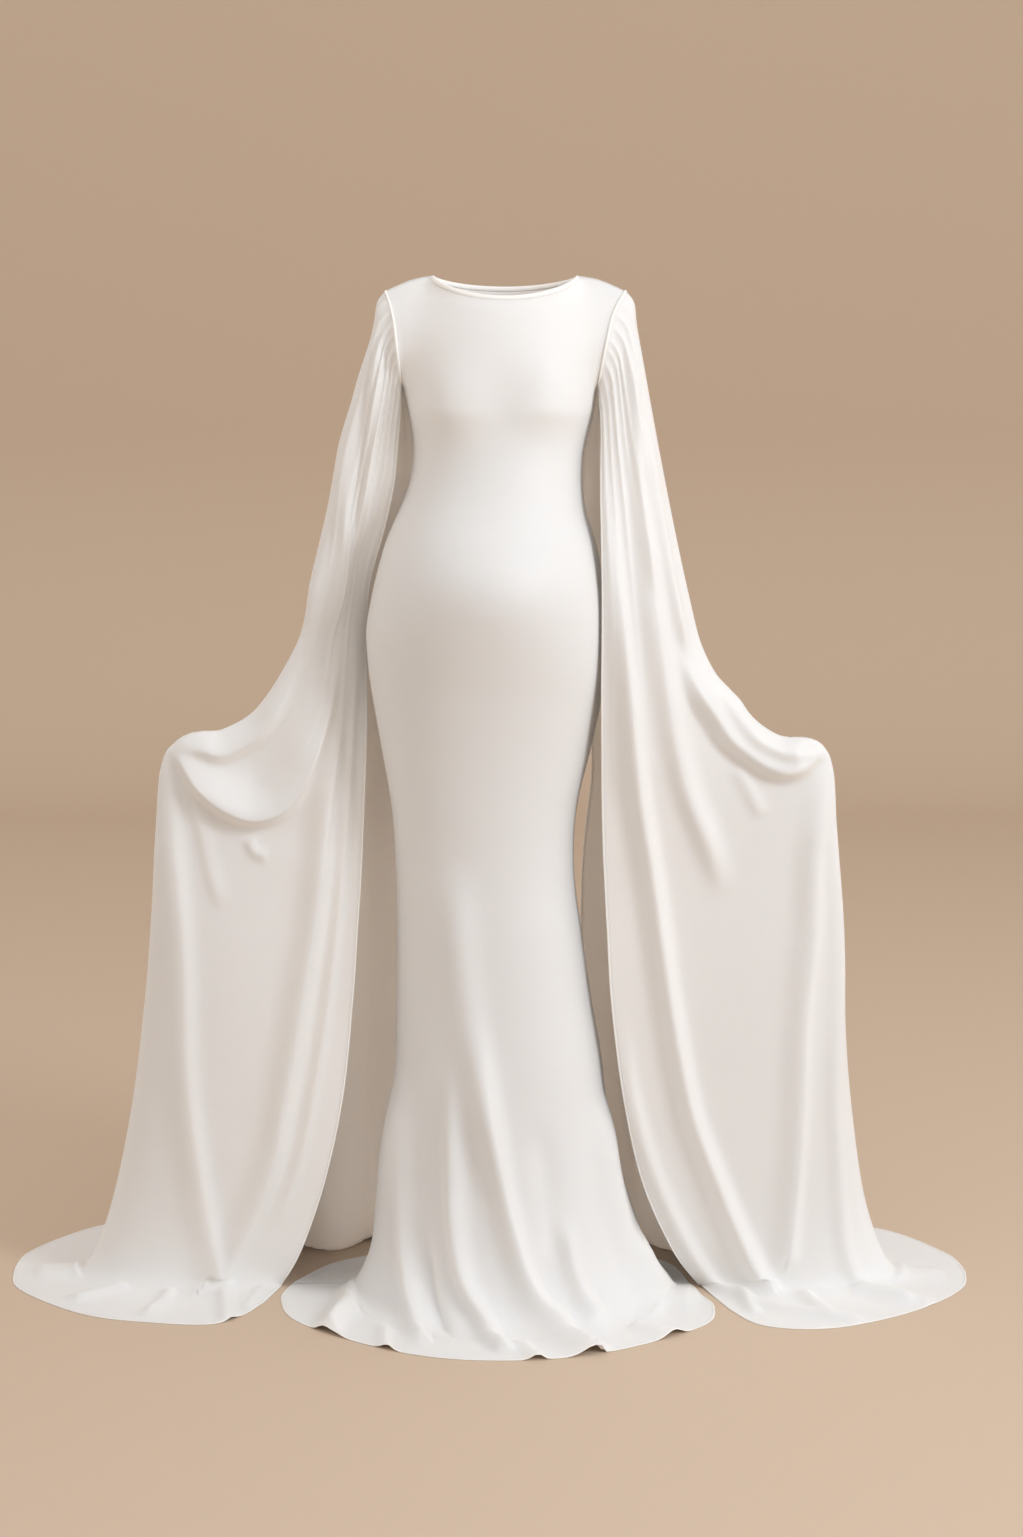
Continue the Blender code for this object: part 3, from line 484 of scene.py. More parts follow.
def rolled_edge(name, points, outward, half_width, half_height, closed=False):
    """A rounded roll of jersey laid along a line of the cloth."""
    count = len(points)
    if closed:
        along = unit(np.roll(points, -1, axis=0) - np.roll(points, 1, axis=0))
    else:
        along = unit(np.gradient(points, axis=0))
    aside = unit(np.cross(along, outward))
    angles = np.linspace(0.0, 2 * math.pi, ROLL_POINTS, endpoint=False)
    ring = (aside[:, None] * np.cos(angles)[None, :, None] * half_width
            + outward[:, None] * np.sin(angles)[None, :, None] * half_height)
    vertices = (points[:, None] + ring).reshape(-1, 3)
    vertices[:, 2] = np.maximum(vertices[:, 2], JERSEY_THICKNESS * 0.2 - FLOOR_DROP)
    faces = []
    for step in range(count if closed else count - 1):
        this = step * ROLL_POINTS
        after = (step + 1) % count * ROLL_POINTS
        for turn in range(ROLL_POINTS):
            beside = (turn + 1) % ROLL_POINTS
            faces.append((this + turn, after + turn, after + beside, this + beside))
    if not closed:
        faces.append(tuple(range(ROLL_POINTS)))
        faces.append(tuple(range(len(vertices) - 1, len(vertices) - 1 - ROLL_POINTS, -1)))
    roll = sewn_mesh(name, vertices, faces, JERSEY)
    layer = roll.data.uv_layers.new(name="cloth")
    corners = np.empty(len(roll.data.loops), dtype=np.int32)
    roll.data.loops.foreach_get("vertex_index", corners)
    flat = vertices[corners][:, [0, 2]]
    layer.data.foreach_set("uv", flat.astype(np.float32).ravel())
    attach(roll, "root")
    return roll


def ivory_thread():
    """Fine spun thread, a little brighter and glossier than the jersey."""
    material = bpy.data.materials.new("ivory_thread")
    material.use_nodes = True
    nodes = material.node_tree.nodes
    links = material.node_tree.links
    shader = nodes["Principled BSDF"]
    shader.inputs["Roughness"].default_value = 0.42
    twist = nodes.new("ShaderNodeTexNoise")
    twist.inputs["Scale"].default_value = 900.0
    shade = nodes.new("ShaderNodeMix")
    shade.data_type = "RGBA"
    shade.inputs["A"].default_value = (0.80, 0.775, 0.74, 1.0)
    shade.inputs["B"].default_value = (0.90, 0.885, 0.86, 1.0)
    links.new(twist.outputs["Fac"], shade.inputs["Factor"])
    links.new(shade.outputs["Result"], shader.inputs["Base Color"])
    return material


THREAD = ivory_thread()


def stitch_row(name, points, outward):
    """Small stitches sunk along a line of the cloth, joined as one piece."""
    lengths = np.linalg.norm(np.diff(points, axis=0), axis=1)
    run = np.concatenate([[0.0], np.cumsum(lengths)])
    places = np.arange(STITCH_SPACING / 2, run[-1], STITCH_SPACING)
    middle = np.stack([np.interp(places, run, points[:, axis]) for axis in range(3)], axis=1)
    ahead = np.stack([np.interp(places + STITCH_HALF_LENGTH, run, points[:, axis]) for axis in range(3)], axis=1)
    up = unit(np.stack([np.interp(places, run, outward[:, axis]) for axis in range(3)], axis=1))
    along = unit(ahead - middle + 1e-9)
    aside = unit(np.cross(along, up))
    middle = middle + up * STITCH_HALF_WIDTH * 0.3
    corners = np.stack([
        middle - along * STITCH_HALF_LENGTH, middle + along * STITCH_HALF_LENGTH,
        middle - aside * STITCH_HALF_WIDTH, middle + aside * STITCH_HALF_WIDTH,
        middle - up * STITCH_HALF_WIDTH, middle + up * STITCH_HALF_WIDTH,
    ], axis=1).reshape(-1, 3)
    corners[:, 2] = np.maximum(corners[:, 2], JERSEY_THICKNESS * 0.2 - FLOOR_DROP)
    faces = []
    for first in range(0, len(corners), 6):
        tail, tip, right, left, under, over = range(first, first + 6)
        for side_from, side_to in ((right, over), (over, left), (left, under), (under, right)):
            faces.append((tip, side_to, side_from))
            faces.append((tail, side_from, side_to))
    row = sewn_mesh(name, corners, faces, THREAD)
    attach(row, "root")
    return row


for side, column in (("right", 0), ("left", -1)):
    line = front[ARMHOLE_ROWS - 4:, column]
    rolled_edge("side_seam_" + side, line, front_outward[ARMHOLE_ROWS - 4:, column],
                SEAM_HALF_WIDTH, SEAM_HALF_HEIGHT)
    part = slice(0, SHOULDER_COLUMNS + 1) if side == "right" else slice(-SHOULDER_COLUMNS - 1, None)
    shoulder_up = unit(front_outward[0, part] + back_outward[0, part])
    rolled_edge("shoulder_seam_" + side, front[0, part], shoulder_up, SEAM_HALF_WIDTH, SEAM_HALF_HEIGHT)

for name, grid, outward in (("front", front, front_outward), ("back", back, back_outward)):
    inward = unit(grid[-2] - grid[-1])
    rolled_edge(name + "_hem", grid[-1] + inward * 0.001 - outward[-1] * 0.0004, outward[-1],
                    HEM_HALF_WIDTH, HEM_HALF_HEIGHT)
    stitch_row(name + "_hem_stitches", grid[-1] + inward * STITCH_INSET, outward[-1])

# Neck binding. The real one is a strip of the same jersey folded over the edge of the boat neck, stitched
# down by one row of small stitches just below its lower edge.
BINDING_HALF_WIDTH = 0.0040
BINDING_HALF_HEIGHT = 0.0014
BINDING_STITCH_DROP = 0.0092

neck_part = slice(SHOULDER_COLUMNS, -SHOULDER_COLUMNS)
neck_line = np.concatenate([front[0, neck_part], back[0, neck_part][-2:0:-1]])
neck_outward = unit(np.concatenate([front_outward[0, neck_part], back_outward[0, neck_part][-2:0:-1]]))
neck_down = unit(np.concatenate([(front[2] - front[0])[neck_part], (back[2] - back[0])[neck_part][-2:0:-1]]))
binding_middle = neck_line + neck_down * (BINDING_HALF_WIDTH - 0.0010) - neck_outward * 0.0005
binding = rolled_edge("neck_binding_band", binding_middle, neck_outward, BINDING_HALF_WIDTH,
                      BINDING_HALF_HEIGHT, closed=True)
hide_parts("neck_binding")
binding_stitches = stitch_row("neck_binding_stitches", neck_line + neck_down * BINDING_STITCH_DROP, neck_outward)

# Cape sleeves. Each real sleeve is one very wide piece of jersey sewn round the armhole and left open
# from the underarm down. It falls over the place of the arm to a held corner, hangs to the floor in two
# layers and lies there in a pool, with a rolled hem all round its free edges.
SLEEVE_FRONT_COLUMNS = 92
SLEEVE_BACK_COLUMNS = 48
ROWS_PER_SLEEVE_SECTION = 16
EASED_ROWS = 0.13
UNDERARM_ROWS = 5
ARMHOLE_SEAM_HALF_WIDTH = 0.0020
ARMHOLE_SEAM_HALF_HEIGHT = 0.0013
ARMHOLE_STITCH_INSET = 0.0052

Level = namedtuple("Level", (
    "out", "y", "drop", "front_out", "front_y", "front_drop", "back_out", "back_y", "back_drop",
    "front_full", "back_full", "square", "sag"))
SLEEVE = {
    RIGHT: [
        Level(0.171, 0.005, 0.027, 0.149, -0.012, 0.168, 0.149, 0.016, 0.168, -0.045, 0.050, 2.0, 0.0),
        Level(0.184, 0.007, 0.044, 0.150, -0.018, 0.194, 0.141, 0.044, 0.194, -0.050, 0.056, 2.0, 0.0),
        Level(0.190, 0.008, 0.082, 0.152, -0.024, 0.220, 0.132, 0.072, 0.220, -0.055, 0.062, 2.0, 0.0),
        Level(0.209, 0.010, 0.166, 0.160, -0.026, 0.300, 0.114, 0.107, 0.300, -0.055, 0.085, 2.0, 0.0),
        Level(0.229, 0.010, 0.258, 0.176, -0.010, 0.370, 0.106, 0.103, 0.370, -0.055, 0.092, 2.0, 0.0),
        Level(0.252, 0.006, 0.352, 0.197, 0.020, 0.445, 0.106, 0.117, 0.445, -0.050, 0.096, 2.0, 0.0),
        Level(0.280, 0.000, 0.460, 0.204, 0.040, 0.520, 0.114, 0.127, 0.520, -0.050, 0.100, 2.1, 0.0),
        Level(0.312, -0.004, 0.556, 0.204, 0.036, 0.600, 0.128, 0.132, 0.600, -0.050, 0.100, 2.2, 0.010),
        Level(0.352, -0.008, 0.622, 0.204, 0.018, 0.670, 0.142, 0.133, 0.670, -0.050, 0.095, 2.4, 0.028),
        Level(0.415, -0.012, 0.660, 0.206, 0.000, 0.745, 0.156, 0.133, 0.745, -0.050, 0.090, 2.6, 0.044),
        Level(0.482, -0.016, 0.677, 0.209, -0.010, 0.820, 0.157, 0.133, 0.820, -0.048, 0.080, 3.0, 0.048),
        Level(0.502, -0.014, 0.715, 0.212, -0.018, 0.880, 0.158, 0.134, 0.880, -0.048, 0.076, 3.5, 0.030),
        Level(0.506, -0.008, 0.800, 0.217, -0.022, 0.950, 0.159, 0.135, 0.950, -0.050, 0.080, 4.0, 0.014),
        Level(0.518, 0.004, 0.905, 0.225, -0.028, 1.060, 0.161, 0.138, 1.060, -0.055, 0.092, 3.8, 0.005),
        Level(0.537, 0.022, 1.070, 0.240, -0.034, 1.200, 0.164, 0.146, 1.200, -0.060, 0.120, 3.0, 0.0),
        Level(0.562, 0.038, 1.235, 0.268, -0.034, 1.330, 0.168, 0.164, 1.330, -0.064, 0.150, 2.5, 0.0),
        Level(0.598, 0.052, 1.390, 0.305, -0.026, 1.440, 0.172, 0.188, 1.440, -0.066, 0.180, 2.2, 0.0),
        Level(0.645, 0.062, 1.4984, 0.336, -0.012, 1.4984, 0.176, 0.212, 1.4984, -0.068, 0.200, 2.1, 0.0),
    ],
    LEFT: [
        Level(0.172, 0.005, 0.027, 0.135, -0.014, 0.170, 0.134, 0.016, 0.168, -0.045, 0.050, 2.0, 0.0),
        Level(0.185, 0.007, 0.044, 0.136, -0.025, 0.195, 0.126, 0.044, 0.194, -0.050, 0.056, 2.0, 0.0),
        Level(0.190, 0.008, 0.080, 0.137, -0.036, 0.220, 0.118, 0.072, 0.220, -0.055, 0.062, 2.0, 0.0),
        Level(0.206, 0.010, 0.166, 0.137, -0.052, 0.300, 0.102, 0.107, 0.300, -0.060, 0.085, 2.0, 0.0),
        Level(0.223, 0.010, 0.256, 0.138, -0.066, 0.370, 0.098, 0.103, 0.370, -0.064, 0.092, 2.0, 0.0),
        Level(0.242, 0.006, 0.350, 0.138, -0.078, 0.445, 0.098, 0.117, 0.445, -0.066, 0.096, 2.0, 0.0),
        Level(0.265, 0.0, 0.455, 0.138, -0.084, 0.520, 0.104, 0.127, 0.520, -0.066, 0.100, 2.1, 0.0),
        Level(0.291, -0.004, 0.553, 0.138, -0.080, 0.600, 0.118, 0.132, 0.600, -0.064, 0.100, 2.2, 0.010),
        Level(0.330, -0.008, 0.632, 0.139, -0.070, 0.670, 0.128, 0.133, 0.670, -0.060, 0.095, 2.4, 0.028),
        Level(0.392, -0.012, 0.672, 0.140, -0.060, 0.745, 0.130, 0.133, 0.745, -0.056, 0.090, 2.6, 0.044),
        Level(0.458, -0.016, 0.680, 0.142, -0.055, 0.820, 0.122, 0.133, 0.820, -0.052, 0.080, 3.0, 0.048),
        Level(0.478, -0.014, 0.715, 0.145, -0.052, 0.880, 0.117, 0.134, 0.880, -0.052, 0.076, 3.5, 0.030),
        Level(0.483, -0.008, 0.800, 0.149, -0.052, 0.950, 0.115, 0.135, 0.950, -0.053, 0.080, 4.0, 0.014),
        Level(0.489, 0.002, 0.905, 0.156, -0.054, 1.060, 0.115, 0.138, 1.060, -0.057, 0.092, 3.8, 0.005),
        Level(0.502, 0.016, 1.070, 0.174, -0.050, 1.200, 0.120, 0.146, 1.200, -0.062, 0.120, 3.4, 0.0),
        Level(0.519, 0.030, 1.235, 0.203, -0.044, 1.330, 0.130, 0.164, 1.330, -0.066, 0.150, 3.0, 0.0),
        Level(0.546, 0.042, 1.390, 0.250, -0.030, 1.440, 0.146, 0.188, 1.440, -0.070, 0.180, 2.6, 0.0),
        Level(0.590, 0.052, 1.4984, 0.292, -0.012, 1.4984, 0.166, 0.212, 1.4984, -0.072, 0.200, 2.4, 0.0),
    ],
}

HemPoint = namedtuple("HemPoint", "out y")
SLEEVE_FRONT_HEM = {
    RIGHT: [
        HemPoint(0.357, -0.090), HemPoint(0.385, -0.150), HemPoint(0.428, -0.186), HemPoint(0.514, -0.178),
        HemPoint(0.604, -0.149), HemPoint(0.682, -0.084), HemPoint(0.736, -0.012), HemPoint(0.750, 0.071),
    ],
    LEFT: [
        HemPoint(0.330, -0.122), HemPoint(0.364, -0.184), HemPoint(0.420, -0.206), HemPoint(0.490, -0.196),
        HemPoint(0.575, -0.146), HemPoint(0.642, -0.084), HemPoint(0.688, -0.014), HemPoint(0.700, 0.055),
    ],
}
SLEEVE_BACK_HEM = {
    RIGHT: [
        HemPoint(0.750, 0.071), HemPoint(0.736, 0.160), HemPoint(0.640, 0.290), HemPoint(0.500, 0.325),
        HemPoint(0.350, 0.342), HemPoint(0.230, 0.362), HemPoint(0.160, 0.366),
    ],
    LEFT: [
        HemPoint(0.700, 0.055), HemPoint(0.684, 0.140), HemPoint(0.600, 0.262), HemPoint(0.470, 0.305),
        HemPoint(0.340, 0.330), HemPoint(0.225, 0.352), HemPoint(0.158, 0.358),
    ],
}
SLEEVE_FRONT_FOLDS = {
    RIGHT: [
        Fold(((-0.483, 0.680), (-0.440, 0.688), (-0.413, 0.694), (-0.387, 0.685), (-0.352, 0.662),
             (-0.320, 0.614), (-0.286, 0.524)), 0.022, 0.008, 0.018, 0.0),
        Fold(((-0.489, 0.685), (-0.472, 0.697), (-0.444, 0.741), (-0.410, 0.771), (-0.376, 0.785),
             (-0.345, 0.782), (-0.319, 0.766), (-0.298, 0.731), (-0.280, 0.673), (-0.261, 0.599),
             (-0.246, 0.528)), 0.040, 0.010, 0.034, 0.0),
        Fold(((-0.376, 0.812), (-0.366, 0.835), (-0.344, 0.844)), 0.010, 0.008, 0.006, 0.0),
        Fold(((-0.475, 0.685), (-0.446, 0.786), (-0.429, 0.868), (-0.412, 0.921)),
             0.014, 0.010, 0.005, 0.0),
        Fold(((-0.492, 0.686), (-0.482, 0.829), (-0.470, 0.991), (-0.467, 1.174), (-0.446, 1.359),
             (-0.418, 1.517)), 0.014, 0.030, 0.014, 0.5),
        Fold(((-0.236, 0.501), (-0.245, 0.616), (-0.260, 0.761), (-0.275, 0.909), (-0.299, 1.059),
             (-0.322, 1.192), (-0.346, 1.305), (-0.398, 1.430), (-0.445, 1.514)),
             0.012, 0.024, 0.022, 0.5),
        Fold(((-0.217, 0.469), (-0.225, 0.619), (-0.232, 0.762), (-0.243, 0.907), (-0.260, 1.051),
             (-0.282, 1.190), (-0.303, 1.293), (-0.336, 1.386)), 0.008, 0.01, 0.009, 0.3),
        Fold(((-0.173, 0.054), (-0.180, 0.137), (-0.186, 0.223), (-0.199, 0.322), (-0.212, 0.410)),
             0.008, 0.010, 0.009, 0.0),
        Fold(((-0.190, 0.082), (-0.211, 0.209), (-0.227, 0.323), (-0.237, 0.438), (-0.256, 0.529)),
             0.010, 0.012, 0.012, 0.0),
        Fold(((-0.214, 0.183), (-0.239, 0.298), (-0.267, 0.413), (-0.286, 0.524)),
             0.011, 0.009, 0.009, 0.0),
        Fold(((-0.640, 1.500), (-0.668, 1.520), (-0.712, 1.560)), 0.012, 0.010, 0.010, 0.7),
        Fold(((-0.560, 1.505), (-0.588, 1.540), (-0.630, 1.590)), 0.010, 0.014, 0.011, 0.8),
        Fold(((-0.500, 1.505), (-0.500, 1.560), (-0.520, 1.620)), 0.010, 0.012, 0.010, 0.6),
        Fold(((-0.420, 1.520), (-0.412, 1.580), (-0.404, 1.640)), 0.012, 0.010, 0.010, 0.7),
        Fold(((-0.365, 1.500), (-0.368, 1.540), (-0.376, 1.590)), 0.009, 0.009, 0.007, 0.7),
    ],
    LEFT: [
        Fold(((0.250, 0.526), (0.264, 0.574), (0.277, 0.608), (0.296, 0.637), (0.320, 0.670),
             (0.349, 0.693), (0.376, 0.710), (0.405, 0.718), (0.430, 0.711), (0.450, 0.695),
             (0.471, 0.691)), 0.036, 0.009, 0.026, 0.0),
        Fold(((0.297, 0.583), (0.312, 0.620), (0.338, 0.655), (0.366, 0.679), (0.401, 0.694),
             (0.429, 0.693), (0.469, 0.689)), 0.014, 0.008, 0.012, 0.0),
        Fold(((0.469, 0.698), (0.461, 0.773), (0.450, 0.844), (0.448, 0.945), (0.437, 1.076),
             (0.433, 1.232), (0.426, 1.351), (0.420, 1.447)), 0.012, 0.022, 0.014, 0.6),
        Fold(((0.478, 0.729), (0.484, 0.849), (0.490, 0.998), (0.486, 1.173), (0.494, 1.326),
             (0.508, 1.449), (0.544, 1.521), (0.620, 1.608)), 0.012, 0.012, 0.008, 0.8),
        Fold(((0.139, 0.237), (0.150, 0.364), (0.163, 0.491), (0.177, 0.607), (0.195, 0.751),
             (0.215, 0.869), (0.233, 0.990), (0.249, 1.093), (0.275, 1.217), (0.314, 1.324),
             (0.352, 1.416), (0.395, 1.507)), 0.012, 0.018, 0.022, 0.7),
        Fold(((0.191, 0.293), (0.207, 0.466), (0.229, 0.595), (0.257, 0.727), (0.294, 0.822),
             (0.322, 0.902)), 0.018, 0.016, 0.014, 0.0),
        Fold(((0.332, 0.706), (0.355, 0.747), (0.375, 0.783)), 0.012, 0.01, 0.004, 0.0),
        Fold(((0.169, 1.055), (0.186, 1.186), (0.214, 1.293), (0.254, 1.391), (0.305, 1.483),
             (0.373, 1.576), (0.505, 1.643)), 0.01, 0.016, 0.01, 0.8),
        Fold(((0.176, 0.081), (0.184, 0.210), (0.194, 0.350), (0.210, 0.464)),
             0.010, 0.008, 0.010, 0.0),
        Fold(((0.191, 0.181), (0.214, 0.323), (0.242, 0.467), (0.266, 0.552)),
             0.010, 0.008, 0.010, 0.0),
        Fold(((0.590, 1.500), (0.615, 1.520), (0.660, 1.560)), 0.012, 0.010, 0.010, 0.7),
        Fold(((0.515, 1.505), (0.546, 1.540), (0.590, 1.590)), 0.010, 0.014, 0.011, 0.8),
        Fold(((0.440, 1.505), (0.452, 1.560), (0.470, 1.620)), 0.010, 0.012, 0.009, 0.6),
        Fold(((0.350, 1.505), (0.352, 1.560), (0.362, 1.610)), 0.010, 0.010, 0.009, 0.7),
    ],
}
SLEEVE_BACK_FOLDS = {
    RIGHT: [
        Fold(((-0.470, 0.705), (-0.350, 0.800), (-0.220, 0.560)), 0.022, 0.022, 0.014, 0.0),
        Fold(((-0.268, 0.760), (-0.275, 1.180), (-0.272, 1.540)), 0.055, 0.055, -0.050, 0.9),
        Fold(((-0.200, 0.500), (-0.205, 1.000), (-0.215, 1.560)), 0.020, 0.020, 0.014, 0.8),
        Fold(((-0.360, 0.900), (-0.366, 1.220), (-0.372, 1.600)), 0.024, 0.024, 0.016, 0.8),
        Fold(((-0.470, 0.900), (-0.490, 1.220), (-0.520, 1.600)), 0.024, 0.024, 0.014, 0.8),
    ],
    LEFT: [
        Fold(((0.450, 0.705), (0.340, 0.790), (0.215, 0.560)), 0.022, 0.022, 0.014, 0.0),
        Fold(((0.262, 0.760), (0.268, 1.180), (0.266, 1.540)), 0.055, 0.055, -0.050, 0.9),
        Fold(((0.195, 0.520), (0.200, 1.020), (0.210, 1.560)), 0.020, 0.020, 0.014, 0.8),
        Fold(((0.345, 0.900), (0.352, 1.220), (0.360, 1.600)), 0.024, 0.024, 0.016, 0.8),
        Fold(((0.440, 0.900), (0.455, 1.220), (0.480, 1.600)), 0.024, 0.024, 0.014, 0.8),
    ],
}

# Gathers fan down from the armhole, each at its share of the way across the front or the back half, from
# the free edge to the outer line. They fade out at their end, a share of the way down the sleeve.
Gather = namedtuple("Gather", "share width height end")
GATHERS = {
    (RIGHT, FRONT): [
        Gather(0.10, 0.030, 0.0040, 0.30), Gather(0.22, 0.026, 0.0055, 0.22), Gather(0.33, 0.022, 0.0035, 0.42),
        Gather(0.43, 0.030, 0.0060, 0.34), Gather(0.55, 0.024, 0.0045, 0.50), Gather(0.64, 0.030, 0.0050, 0.28),
        Gather(0.76, 0.026, 0.0045, 0.40), Gather(0.88, 0.030, 0.0035, 0.24),
    ],
    (LEFT, FRONT): [
        Gather(0.08, 0.026, 0.0027, 0.50), Gather(0.19, 0.024, 0.0021, 0.38), Gather(0.31, 0.030, 0.0033, 0.46),
        Gather(0.42, 0.022, 0.0021, 0.26), Gather(0.50, 0.026, 0.0030, 0.40), Gather(0.62, 0.030, 0.0027, 0.34),
        Gather(0.73, 0.024, 0.0024, 0.44), Gather(0.86, 0.030, 0.0021, 0.26),
    ],
    (RIGHT, BACK): [
        Gather(0.14, 0.040, 0.0050, 0.36), Gather(0.33, 0.046, 0.0065, 0.28), Gather(0.52, 0.040, 0.0050, 0.44),
        Gather(0.72, 0.046, 0.0060, 0.32), Gather(0.88, 0.040, 0.0040, 0.24),
    ],
    (LEFT, BACK): [
        Gather(0.12, 0.040, 0.0055, 0.30), Gather(0.29, 0.040, 0.0050, 0.42), Gather(0.50, 0.046, 0.0065, 0.30),
        Gather(0.68, 0.040, 0.0050, 0.38), Gather(0.85, 0.046, 0.0045, 0.26),
    ],
}


def gather_lift(rows, columns, gathers):
    """How far the gathers raise one half of a sleeve, by row and by column from its free edge."""
    down = np.linspace(0.0, 1.0, rows)[:, None]
    across = np.linspace(0.0, 1.0, columns)[None, :]
    lift = np.zeros((rows, columns))
    for gather in gathers:
        fade = np.clip(down / 0.06, 0.0, 1.0) * np.clip((gather.end - down) / gather.end, 0.0, 1.0)
        lift += gather.height * fade ** 0.7 * np.exp(-((across - gather.share) / gather.width) ** 2)
    return lift


def sleeve_half(side, toward):
    """One half of a sleeve above the floor, as rows from its free edge to its outer line."""
    places = np.linspace(0, len(SLEEVE[side]) - 1, (len(SLEEVE[side]) - 1) * ROWS_PER_SLEEVE_SECTION + 1)
    levels = [Level(*row) for row in through(SLEEVE[side], places)]
    angles = np.linspace(0.0, math.pi / 2, 121)
    grid = []
    for level in levels:
        power = 2.0 / level.square
        if toward == FRONT:
            edge = (level.front_out, level.front_y, level.front_drop)
            full = level.front_full
        else:
            edge = (level.back_out, level.back_y, level.back_drop)
            full = level.back_full
        share = np.sin(angles) ** power
        fullness = np.cos(angles) ** power
        plane = edge[1] * (1 - share) + full * share
        line = np.stack([
            side * (edge[0] + (level.out - edge[0]) * share),
            level.y + (plane - level.y) * fullness,
            -(edge[2] + (level.drop - edge[2]) * share + level.sag * 4 * share * (1 - share)),
        ], axis=1)
        grid.append(even_steps(line, SLEEVE_FRONT_COLUMNS if toward == FRONT else SLEEVE_BACK_COLUMNS))
    return np.stack(grid)


def sleeve_surface(side, armhole):
    """The outer face of a sleeve, as rows from the armhole to the hem, front edge to back edge."""
    front_half = sleeve_half(side, FRONT)
    back_half = sleeve_half(side, BACK)[:, ::-1]
    grid = np.concatenate([front_half, back_half[:, 1:]], axis=1)
    easing = np.clip(1 - np.linspace(0.0, 1.0, len(grid)) / EASED_ROWS, 0.0, 1.0) ** 2
    grid = grid + (armhole - grid[0])[None] * easing[:, None, None]
    height = JERSEY_THICKNESS - FLOOR_DROP
    front_hem = [(side * point.out, point.y, height) for point in SLEEVE_FRONT_HEM[side]]
    back_hem = [(side * point.out, point.y, height) for point in SLEEVE_BACK_HEM[side]]
    hem = np.concatenate([smooth_line(front_hem, SLEEVE_FRONT_COLUMNS),
                          smooth_line(back_hem, SLEEVE_BACK_COLUMNS)[1:]])
    grid = np.concatenate([grid, lay_down(grid[-1], hem)])
    run = run_down(grid)
    grid = settle(grid, near_row(len(grid), len(grid) - POOL_ROWS, 22), 60)
    middle = SLEEVE_FRONT_COLUMNS
    lift = np.concatenate([
        fold_lift(grid[:, :middle, 0], run[:, :middle], SLEEVE_FRONT_FOLDS[side]),
        fold_lift(grid[:, middle:, 0], run[:, middle:], SLEEVE_BACK_FOLDS[side]),
    ], axis=1)
    lift *= np.clip((np.arange(len(grid)) - 8) / 24, 0.0, 1.0)[:, None]
    lift[:, :middle] += gather_lift(len(grid), middle, GATHERS[side, FRONT])
    lift[:, middle:] += gather_lift(len(grid), SLEEVE_BACK_COLUMNS + 1, GATHERS[side, BACK])[:, ::-1]
    lift[-POOL_ROWS:] = np.maximum(lift[-POOL_ROWS:], 0.0)
    return keep_above_floor(grid + outward_of(grid, -side) * lift[..., None])


def armhole_edge(front_grid, back_grid, side):
    """Points along the armhole that carries the sleeve, from the front of the underarm to its back."""
    column = 0 if side == RIGHT else -1
    rows = slice(0, ARMHOLE_ROWS - UNDERARM_ROWS + 1)
    front_part = even_steps(front_grid[rows, column][::-1], SLEEVE_FRONT_COLUMNS)
    back_part = even_steps(back_grid[rows, column], SLEEVE_BACK_COLUMNS)
    return np.concatenate([front_part, back_part[1:]])


for side, node in ((RIGHT, "sleeve_right"), (LEFT, "sleeve_left")):
    seat = armhole_edge(front, back, side) + armhole_edge(front_outward, back_outward, side) * 0.0014
    surface = sleeve_surface(side, seat)
    outward = outward_of(surface, -side)
    sleeve_cloth = cloth_shell(node + "_cloth", surface, outward, -side)
    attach(sleeve_cloth, "root")
    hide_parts(node)
    rim = np.concatenate([surface[:, 0], surface[-1, 1:], surface[-2::-1, -1]])
    rim_outward = np.concatenate([outward[:, 0], outward[-1, 1:], outward[-2::-1, -1]])
    rim_inward = unit(np.concatenate([surface[:, 1] - surface[:, 0], (surface[-2] - surface[-1])[1:],
                                      (surface[:, -2] - surface[:, -1])[-2::-1]]))
    edge = rolled_edge(node + "_rolled_edge", rim + rim_inward * 0.001 - rim_outward * 0.0004, rim_outward,
                       HEM_HALF_WIDTH, HEM_HALF_HEIGHT)
    edge_stitches = stitch_row(node + "_edge_stitches", rim + rim_inward * STITCH_INSET, rim_outward)
    seam_outward = unit(armhole_edge(front_outward, back_outward, side))
    armhole_roll = rolled_edge(node + "_armhole_seam", seat + seam_outward * 0.0002, seam_outward,
                               ARMHOLE_SEAM_HALF_WIDTH, ARMHOLE_SEAM_HALF_HEIGHT)
    seam_along = unit(np.gradient(seat, axis=0))
    seam_inward = side * np.cross(seam_along, seam_outward)
    armhole_stitches = stitch_row(node + "_armhole_stitches",
                                  seat + seam_inward * ARMHOLE_STITCH_INSET - seam_outward * 0.0012,
                                  seam_outward)

# Studio. A pale floor that curves up into a plain backdrop, a large soft light from the front right, a
# weaker one from above, and the camera at the photograph's viewing angle.
SWEEP_COLOUR = (0.565, 0.448, 0.345, 1.0)
SWEEP_HALF_WIDTH = 6.0
SWEEP_FRONT = -6.0
SWEEP_BACK = 5.4
SWEEP_CURVE = 1.1
SWEEP_TOP = 5.0
PHOTO_HEIGHT_PX = 1537.0
FOCAL_LENGTH_PX = 2897.0
SENSOR_HEIGHT_MM = 24.0
CAMERA_PLACE = Vector((0.009, -4.2, -0.093))
CAMERA_PITCH_DEG = 8.45

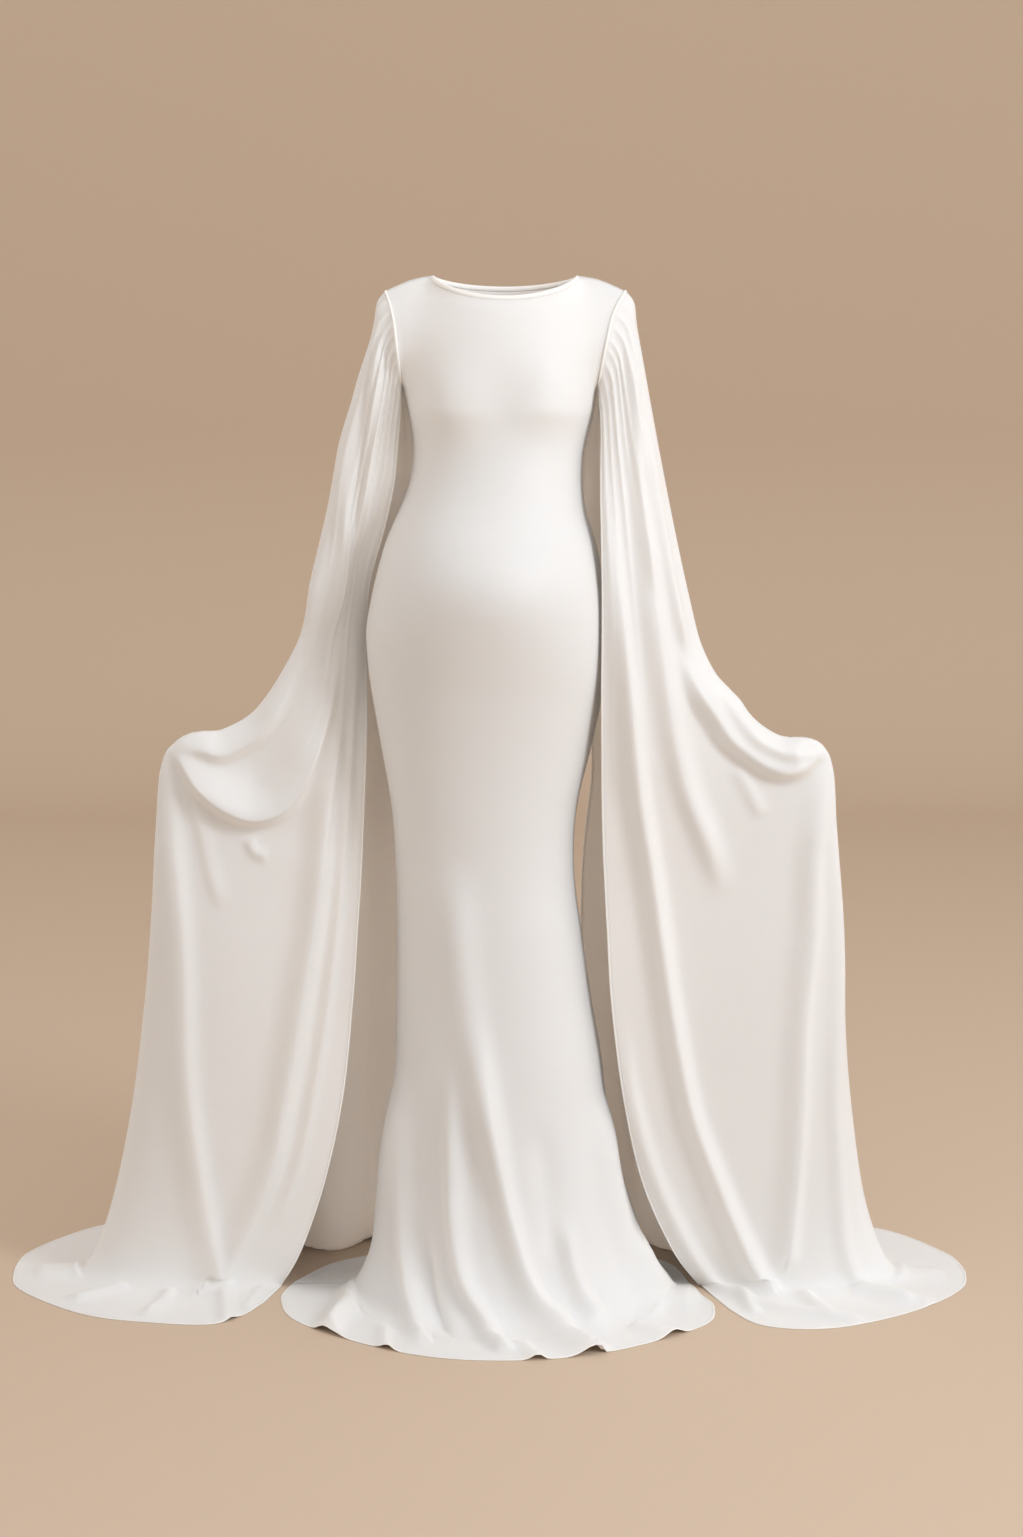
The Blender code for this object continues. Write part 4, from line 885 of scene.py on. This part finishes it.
profile = [(SWEEP_FRONT, 0.0), (SWEEP_BACK - SWEEP_CURVE, 0.0)]
for step in range(1, 17):
    angle = math.radians(90) * step / 16
    profile.append((SWEEP_BACK - SWEEP_CURVE + SWEEP_CURVE * math.sin(angle),
                    SWEEP_CURVE * (1 - math.cos(angle))))
profile.append((SWEEP_BACK, SWEEP_TOP))
sweep_points = [(x, y, z - FLOOR_DROP) for y, z in profile for x in (-SWEEP_HALF_WIDTH, SWEEP_HALF_WIDTH)]
sweep_faces = [(2 * row, 2 * row + 1, 2 * row + 3, 2 * row + 2) for row in range(len(profile) - 1)]
sweep_paint = bpy.data.materials.new("studio_sweep")
sweep_paint.use_nodes = True
sweep_shader = sweep_paint.node_tree.nodes["Principled BSDF"]
sweep_shader.inputs["Base Color"].default_value = SWEEP_COLOUR
sweep_shader.inputs["Roughness"].default_value = 0.85
sweep = sewn_mesh("studio_sweep", sweep_points, sweep_faces, sweep_paint)


def soft_light(name, place, aim, size, watts, colour):
    """A square area light at a place, turned towards a point."""
    lamp = bpy.data.lights.new(name, "AREA")
    lamp.shape = "SQUARE"
    lamp.size = size
    lamp.energy = watts
    lamp.color = colour
    light = bpy.data.objects.new(name, lamp)
    light.location = place
    light.rotation_euler = (Vector(aim) - Vector(place)).to_track_quat("-Z", "Y").to_euler()
    bpy.context.scene.collection.objects.link(light)


soft_light("key_light", (3.4, -2.8, 1.3), (0.0, 0.0, -0.9), 1.4, 104.0, (0.88, 0.94, 1.0))
soft_light("top_light", (0.8, -0.6, 2.6), (0.0, 0.0, -0.6), 1.8, 8.0, (0.90, 0.95, 1.0))

world = bpy.data.worlds.new("studio_air")
world.use_nodes = True
world.node_tree.nodes["Background"].inputs["Color"].default_value = (1.0, 0.925, 0.86, 1.0)
world.node_tree.nodes["Background"].inputs["Strength"].default_value = 0.90
bpy.context.scene.world = world
bpy.context.scene.view_settings.view_transform = "Standard"

camera_data = bpy.data.cameras.new("camera")
camera_data.sensor_fit = "VERTICAL"
camera_data.sensor_height = SENSOR_HEIGHT_MM
camera_data.lens = SENSOR_HEIGHT_MM * FOCAL_LENGTH_PX / PHOTO_HEIGHT_PX
camera = bpy.data.objects.new("camera", camera_data)
camera.location = CAMERA_PLACE
camera.rotation_euler = (math.radians(90 - CAMERA_PITCH_DEG), 0.0, 0.0)
bpy.context.scene.collection.objects.link(camera)
bpy.context.scene.camera = camera
